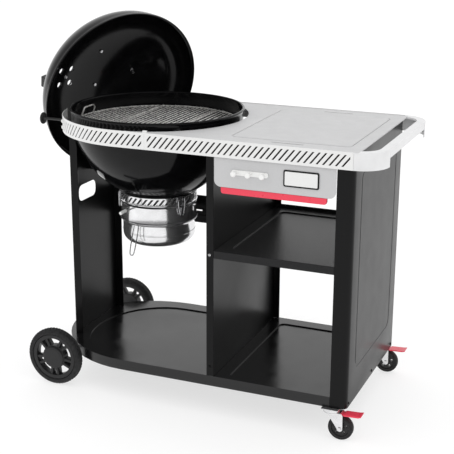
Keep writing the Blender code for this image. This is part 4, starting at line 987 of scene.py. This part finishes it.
def build_lid_rests():
    for node, foot, heading, reach in (("lid_rest_front", (-0.3005, -0.090), (-1.0, 0.0, 0.0), 0.0864),
                                       ("lid_rest_rear", (-0.0187, 0.3136), (-0.342, 0.940, 0.0), 0.0744)):
        low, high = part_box(node)
        place = KETTLE + Vector((foot[0], foot[1], (low.z + high.z) / 2.0))
        rod = [(0.0, 0.0), (0.010, 0.0), (0.010, 0.005), (0.0088, 0.0064), (0.0044, 0.0072)]
        rod += [(0.0042, reach - 0.0124), (0.0060, reach - 0.0089)]
        rod += [(0.0170, reach - 0.0074), (0.0192, reach - 0.0060)]
        rod += [(0.0200, reach - 0.0039), (0.0192, reach - 0.0018), (0.0165, reach - 0.0006), (0.0, reach)]
        add_piece(f"{node}_peg", revolve(rod, 40, closed=False), node, matrix=facing(place, heading))


# ---------------------------------------------------------------- running gear

def axle_place(node):
    low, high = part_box(node)
    return (low + high) / 2.0


def build_big_wheel(name, outward):
    """Treaded tyre, ten-spoke rim and hub cap, all about an axle along Y."""
    centre = axle_place(f"wheel_{name}_tyre")
    place = facing(centre, (0, outward, 0))
    r, half = 0.0985, 0.017
    tyre = [(0.0790, half - 0.004), (0.0810, half - 0.0010), (0.0860, half - 0.0002), (0.0910, half - 0.0012)]
    tyre += [(0.0945, half - 0.0034), (0.0964, half - 0.0075)]
    tyre += [(x, -z) for x, z in reversed(tyre)]
    bm = revolve(tyre, 120)
    tread_blocks(bm, r, half)
    add_piece(f"tyre_{name}", bm, f"wheel_{name}_tyre", matrix=place, sharp=40.0)
    rim = [(0.0652, half - 0.0052), (0.0660, half - 0.0038), (0.0777, half - 0.0036), (0.0787, half - 0.0052)]
    rim += [(x, -z) for x, z in reversed(rim)]
    bm = revolve(rim, 96)
    hub = [(0.0054, half - 0.002), (0.0385, half - 0.002), (0.0408, half - 0.0040), (0.0412, 0.004)]
    hub += [(0.0412, -0.004), (0.0408, -half + 0.0040), (0.0385, -half + 0.002), (0.0054, -half + 0.002)]
    revolve(hub, 72, bm)
    spokes(bm, half)
    add_piece(f"rim_{name}", bm, f"wheel_{name}_rim", mat=WHEEL, matrix=place, sharp=35.0)
    cap = [(0.0, 0.0008), (0.0372, 0.0008), (0.0380, 0.0016), (0.0376, 0.0030), (0.0352, 0.0042)]
    cap += [(0.0320, 0.0046), (0.0300, 0.0046), (0.0292, 0.0052), (0.0, 0.0055)]
    outer_face = place @ Matrix.Translation((0.0, 0.0, half - 0.002))
    add_piece(f"hub_cap_{name}", revolve(cap, 72, closed=False), f"wheel_{name}_cap", mat=WHEEL,
              matrix=outer_face)


def tread_blocks(bm, r, half):
    """Rows of low blocks around the tyre, staggered across it."""
    count = 54
    for row, (z0, z1) in enumerate(((-half + 0.0045, -0.0015), (0.0015, half - 0.0045))):
        for i in range(count):
            a0 = 2.0 * math.pi * (i + 0.5 * row) / count
            a1 = a0 + 2.0 * math.pi * 0.62 / count
            lean = 0.020 if row else -0.020
            loops = []
            for radius, ease in ((0.0945, 0.0), (r, 0.0016)):
                corners = [(a0 + ease / r, z0 + ease), (a1 - ease / r, z0 + ease)]
                corners += [(a1 - ease / r + lean, z1 - ease), (a0 + ease / r + lean, z1 - ease)]
                shoulder = 0.0018 if radius == r else 0.0
                loop = []
                for k, (a, z) in enumerate(corners):
                    outer_edge = (row == 0 and k < 2) or (row == 1 and k >= 2)
                    rr = radius - (shoulder if outer_edge else 0.0)
                    loop.append((rr * math.cos(a), rr * math.sin(a), z))
                loops.append(loop)
            loft(loops, bm=bm)


def spokes(bm, half):
    """Five pairs of tapering spokes between the hub and the rim."""
    for i in range(5):
        for side in (-1.0, 1.0):
            middle = 90.0 + 36.0 + 72.0 * i
            inner_a = math.radians(middle + side * 12.0)
            outer_a = math.radians(middle + side * 11.0)
            a = Vector((0.0395 * math.cos(inner_a), 0.0395 * math.sin(inner_a), 0.0))
            b = Vector((0.0660 * math.cos(outer_a), 0.0660 * math.sin(outer_a), 0.0))
            along = (b - a).normalized()
            across = Vector((-along.y, along.x, 0.0))
            loops = []
            for point, wide, deep in ((a, 0.0062, half - 0.0045), (b, 0.0050, half - 0.0058)):
                loop = []
                for u, v in ((-1.0, -0.7), (-0.7, -1.0), (0.7, -1.0), (1.0, -0.7),
                             (1.0, 0.7), (0.7, 1.0), (-0.7, 1.0), (-1.0, 0.7)):
                    loop.append(point + across * (u * wide) + Vector((0.0, 0.0, v * deep)))
                loops.append(loop)
            loft(loops, bm=bm)


def build_axle():
    softened("wheel_axle", 0.0008, 2)


def build_caster(name):
    softened(f"caster_{name}_mount", 0.0008, 2)
    softened(f"caster_{name}_fork", 0.0007, 2)
    softened(f"caster_{name}_brake", 0.0012, 3)
    centre = axle_place(f"caster_{name}_wheel")
    place = facing(centre, (0, 1, 0))
    half, r = 0.012, 0.0395
    tread = [(0.0310, half - 0.0010), (0.0350, half), (0.0372, half - 0.0012), (0.0388, half - 0.0038)]
    tread.append((r, half - 0.0070))
    tread += [(x, -z) for x, z in reversed(tread)]
    bm = revolve(tread, 72)
    add_piece(f"caster_tread_{name}", bm, body=f"caster_{name}_wheel", slot="tyre_rubber",
              mat=MATERIALS["tyre_rubber"], matrix=place)
    core = [(0.0045, half - 0.001), (0.0105, half - 0.001), (0.0118, half - 0.0022), (0.0128, half - 0.0050)]
    core += [(0.0260, half - 0.0050), (0.0274, half - 0.0030)]
    core += [(0.0284, half - 0.0010), (0.0312, half - 0.0010)]
    core += [(x, -z) for x, z in reversed(core)]
    hub = revolve(core, 72)
    wheel = add_piece(f"caster_core_{name}", hub, f"caster_{name}_wheel", mat=WHEEL, matrix=place)
    for i in range(5):
        a = math.radians(72.0 * i + 18.0)
        spot = Matrix.Translation((0.0187 * math.cos(a), 0.0187 * math.sin(a), 0.0))
        hole = bore(CASTER_BORE, 0.03, 20)
        carve(wheel, hole, place @ spot)
    for side in (-1.0, 1.0):
        spot = Vector((centre.x, centre.y + side * 0.0162, centre.z))
        nut = [(0.0, 0.0), (0.0062, 0.0), (0.0062, 0.0030), (0.0054, 0.0038), (0.0, 0.0038)]
        tag = "a" if side < 0 else "b"
        add_piece(f"caster_nut_{name}_{tag}", revolve(nut, 6, closed=False), body=f"caster_{name}_fork",
                  slot="bright_steel", matrix=facing(spot, (0, side, 0)), sharp=20.0)


# ---------------------------------------------------------------- studio

def build_floor():
    bm = prism([(-60.0, -60.0), (60.0, -60.0), (60.0, 60.0), (-60.0, 60.0)], -0.02, 0.0)
    mesh = bpy.data.meshes.new("floor")
    bmesh.ops.recalc_face_normals(bm, faces=bm.faces)
    bm.to_mesh(mesh)
    bm.free()
    floor = bpy.data.objects.new("floor", mesh)
    bpy.context.scene.collection.objects.link(floor)
    mesh.materials.append(floor_finish())


def area_light(name, place, target, size, power):
    data = bpy.data.lights.new(name, "AREA")
    data.shape = "RECTANGLE"
    data.size, data.size_y = size
    data.energy = power
    light = bpy.data.objects.new(name, data)
    bpy.context.scene.collection.objects.link(light)
    light.location = place
    heading = Vector(target) - Vector(place)
    light.rotation_euler = heading.to_track_quat("-Z", "Y").to_euler()
    return light


def build_studio():
    """White surroundings, dark for reflections on the viewer's side, with a few soft lights."""
    build_floor()
    world = bpy.data.worlds.new("studio")
    bpy.context.scene.world = world
    world.use_nodes = True
    nodes, links = world.node_tree.nodes, world.node_tree.links
    direction = nodes.new("ShaderNodeSeparateXYZ")
    links.new(nodes.new("ShaderNodeTexCoord").outputs["Generated"], direction.inputs["Vector"])
    depth = nodes.new("ShaderNodeMapRange")
    for socket, value in (("From Min", -0.15), ("From Max", 0.55), ("To Min", 0.26), ("To Max", 1.05)):
        depth.inputs[socket].default_value = value
    links.new(direction.outputs["Y"], depth.inputs["Value"])
    mirrored = nodes.new("ShaderNodeBackground")
    mirrored.inputs["Color"].default_value = (1.0, 1.0, 1.0, 1.0)
    links.new(depth.outputs["Result"], mirrored.inputs["Strength"])
    sky = nodes["Background"]
    sky.inputs["Color"].default_value = (1.0, 1.0, 1.0, 1.0)
    sky.inputs["Strength"].default_value = 1.12
    backdrop = nodes.new("ShaderNodeBackground")
    backdrop.inputs["Color"].default_value = (1.0, 1.0, 1.0, 1.0)
    backdrop.inputs["Strength"].default_value = 1.0
    ray = nodes.new("ShaderNodeLightPath")
    shine = nodes.new("ShaderNodeMixShader")
    links.new(ray.outputs["Is Glossy Ray"], shine.inputs["Fac"])
    links.new(sky.outputs["Background"], shine.inputs[1])
    links.new(mirrored.outputs["Background"], shine.inputs[2])
    mix = nodes.new("ShaderNodeMixShader")
    links.new(ray.outputs["Is Camera Ray"], mix.inputs["Fac"])
    links.new(shine.outputs["Shader"], mix.inputs[1])
    links.new(backdrop.outputs["Background"], mix.inputs[2])
    links.new(mix.outputs["Shader"], nodes["World Output"].inputs["Surface"])
    area_light("key", (1.2, -2.6, 3.4), (0.0, 0.0, 0.4), (2.6, 1.6), 7.0)
    area_light("left_fill", (-3.2, -1.2, 2.0), (0.0, 0.0, 0.6), (0.8, 2.2), 4.0)
    area_light("right_fill", (3.4, -0.6, 1.6), (0.2, 0.0, 0.5), (0.8, 2.0), 3.0)


def build_camera():
    data = bpy.data.cameras.new("camera")
    data.lens = CAMERA_LENS
    data.sensor_width = 36.0
    camera = bpy.data.objects.new("camera", data)
    bpy.context.scene.collection.objects.link(camera)
    look = Matrix.Rotation(CAMERA_YAW, 4, "Z") @ Matrix.Rotation(math.radians(90.0) - CAMERA_DOWN, 4, "X")
    look = look @ Matrix.Rotation(CAMERA_ROLL, 4, "Z")
    camera.matrix_world = Matrix.Translation(KETTLE + CAMERA_FROM_KETTLE) @ look
    bpy.context.scene.camera = camera
    bpy.context.scene.view_settings.view_transform = "Standard"


build_camera()
build_bowl()
build_grates()
build_charcoal_grate()
build_vent_ring()
build_collar()
build_shroud()
build_ash_pot()
for wire in ("pot_handle", "pot_clamp_left", "pot_clamp_right"):
    wire_loop(wire)
build_sweep()
build_lid()
build_cart()
build_front_panel()
build_table()
build_rails()
build_lid_rests()
build_axle()
build_big_wheel("front", -1)
build_big_wheel("rear", 1)
build_caster("front")
build_caster("rear")
build_studio()
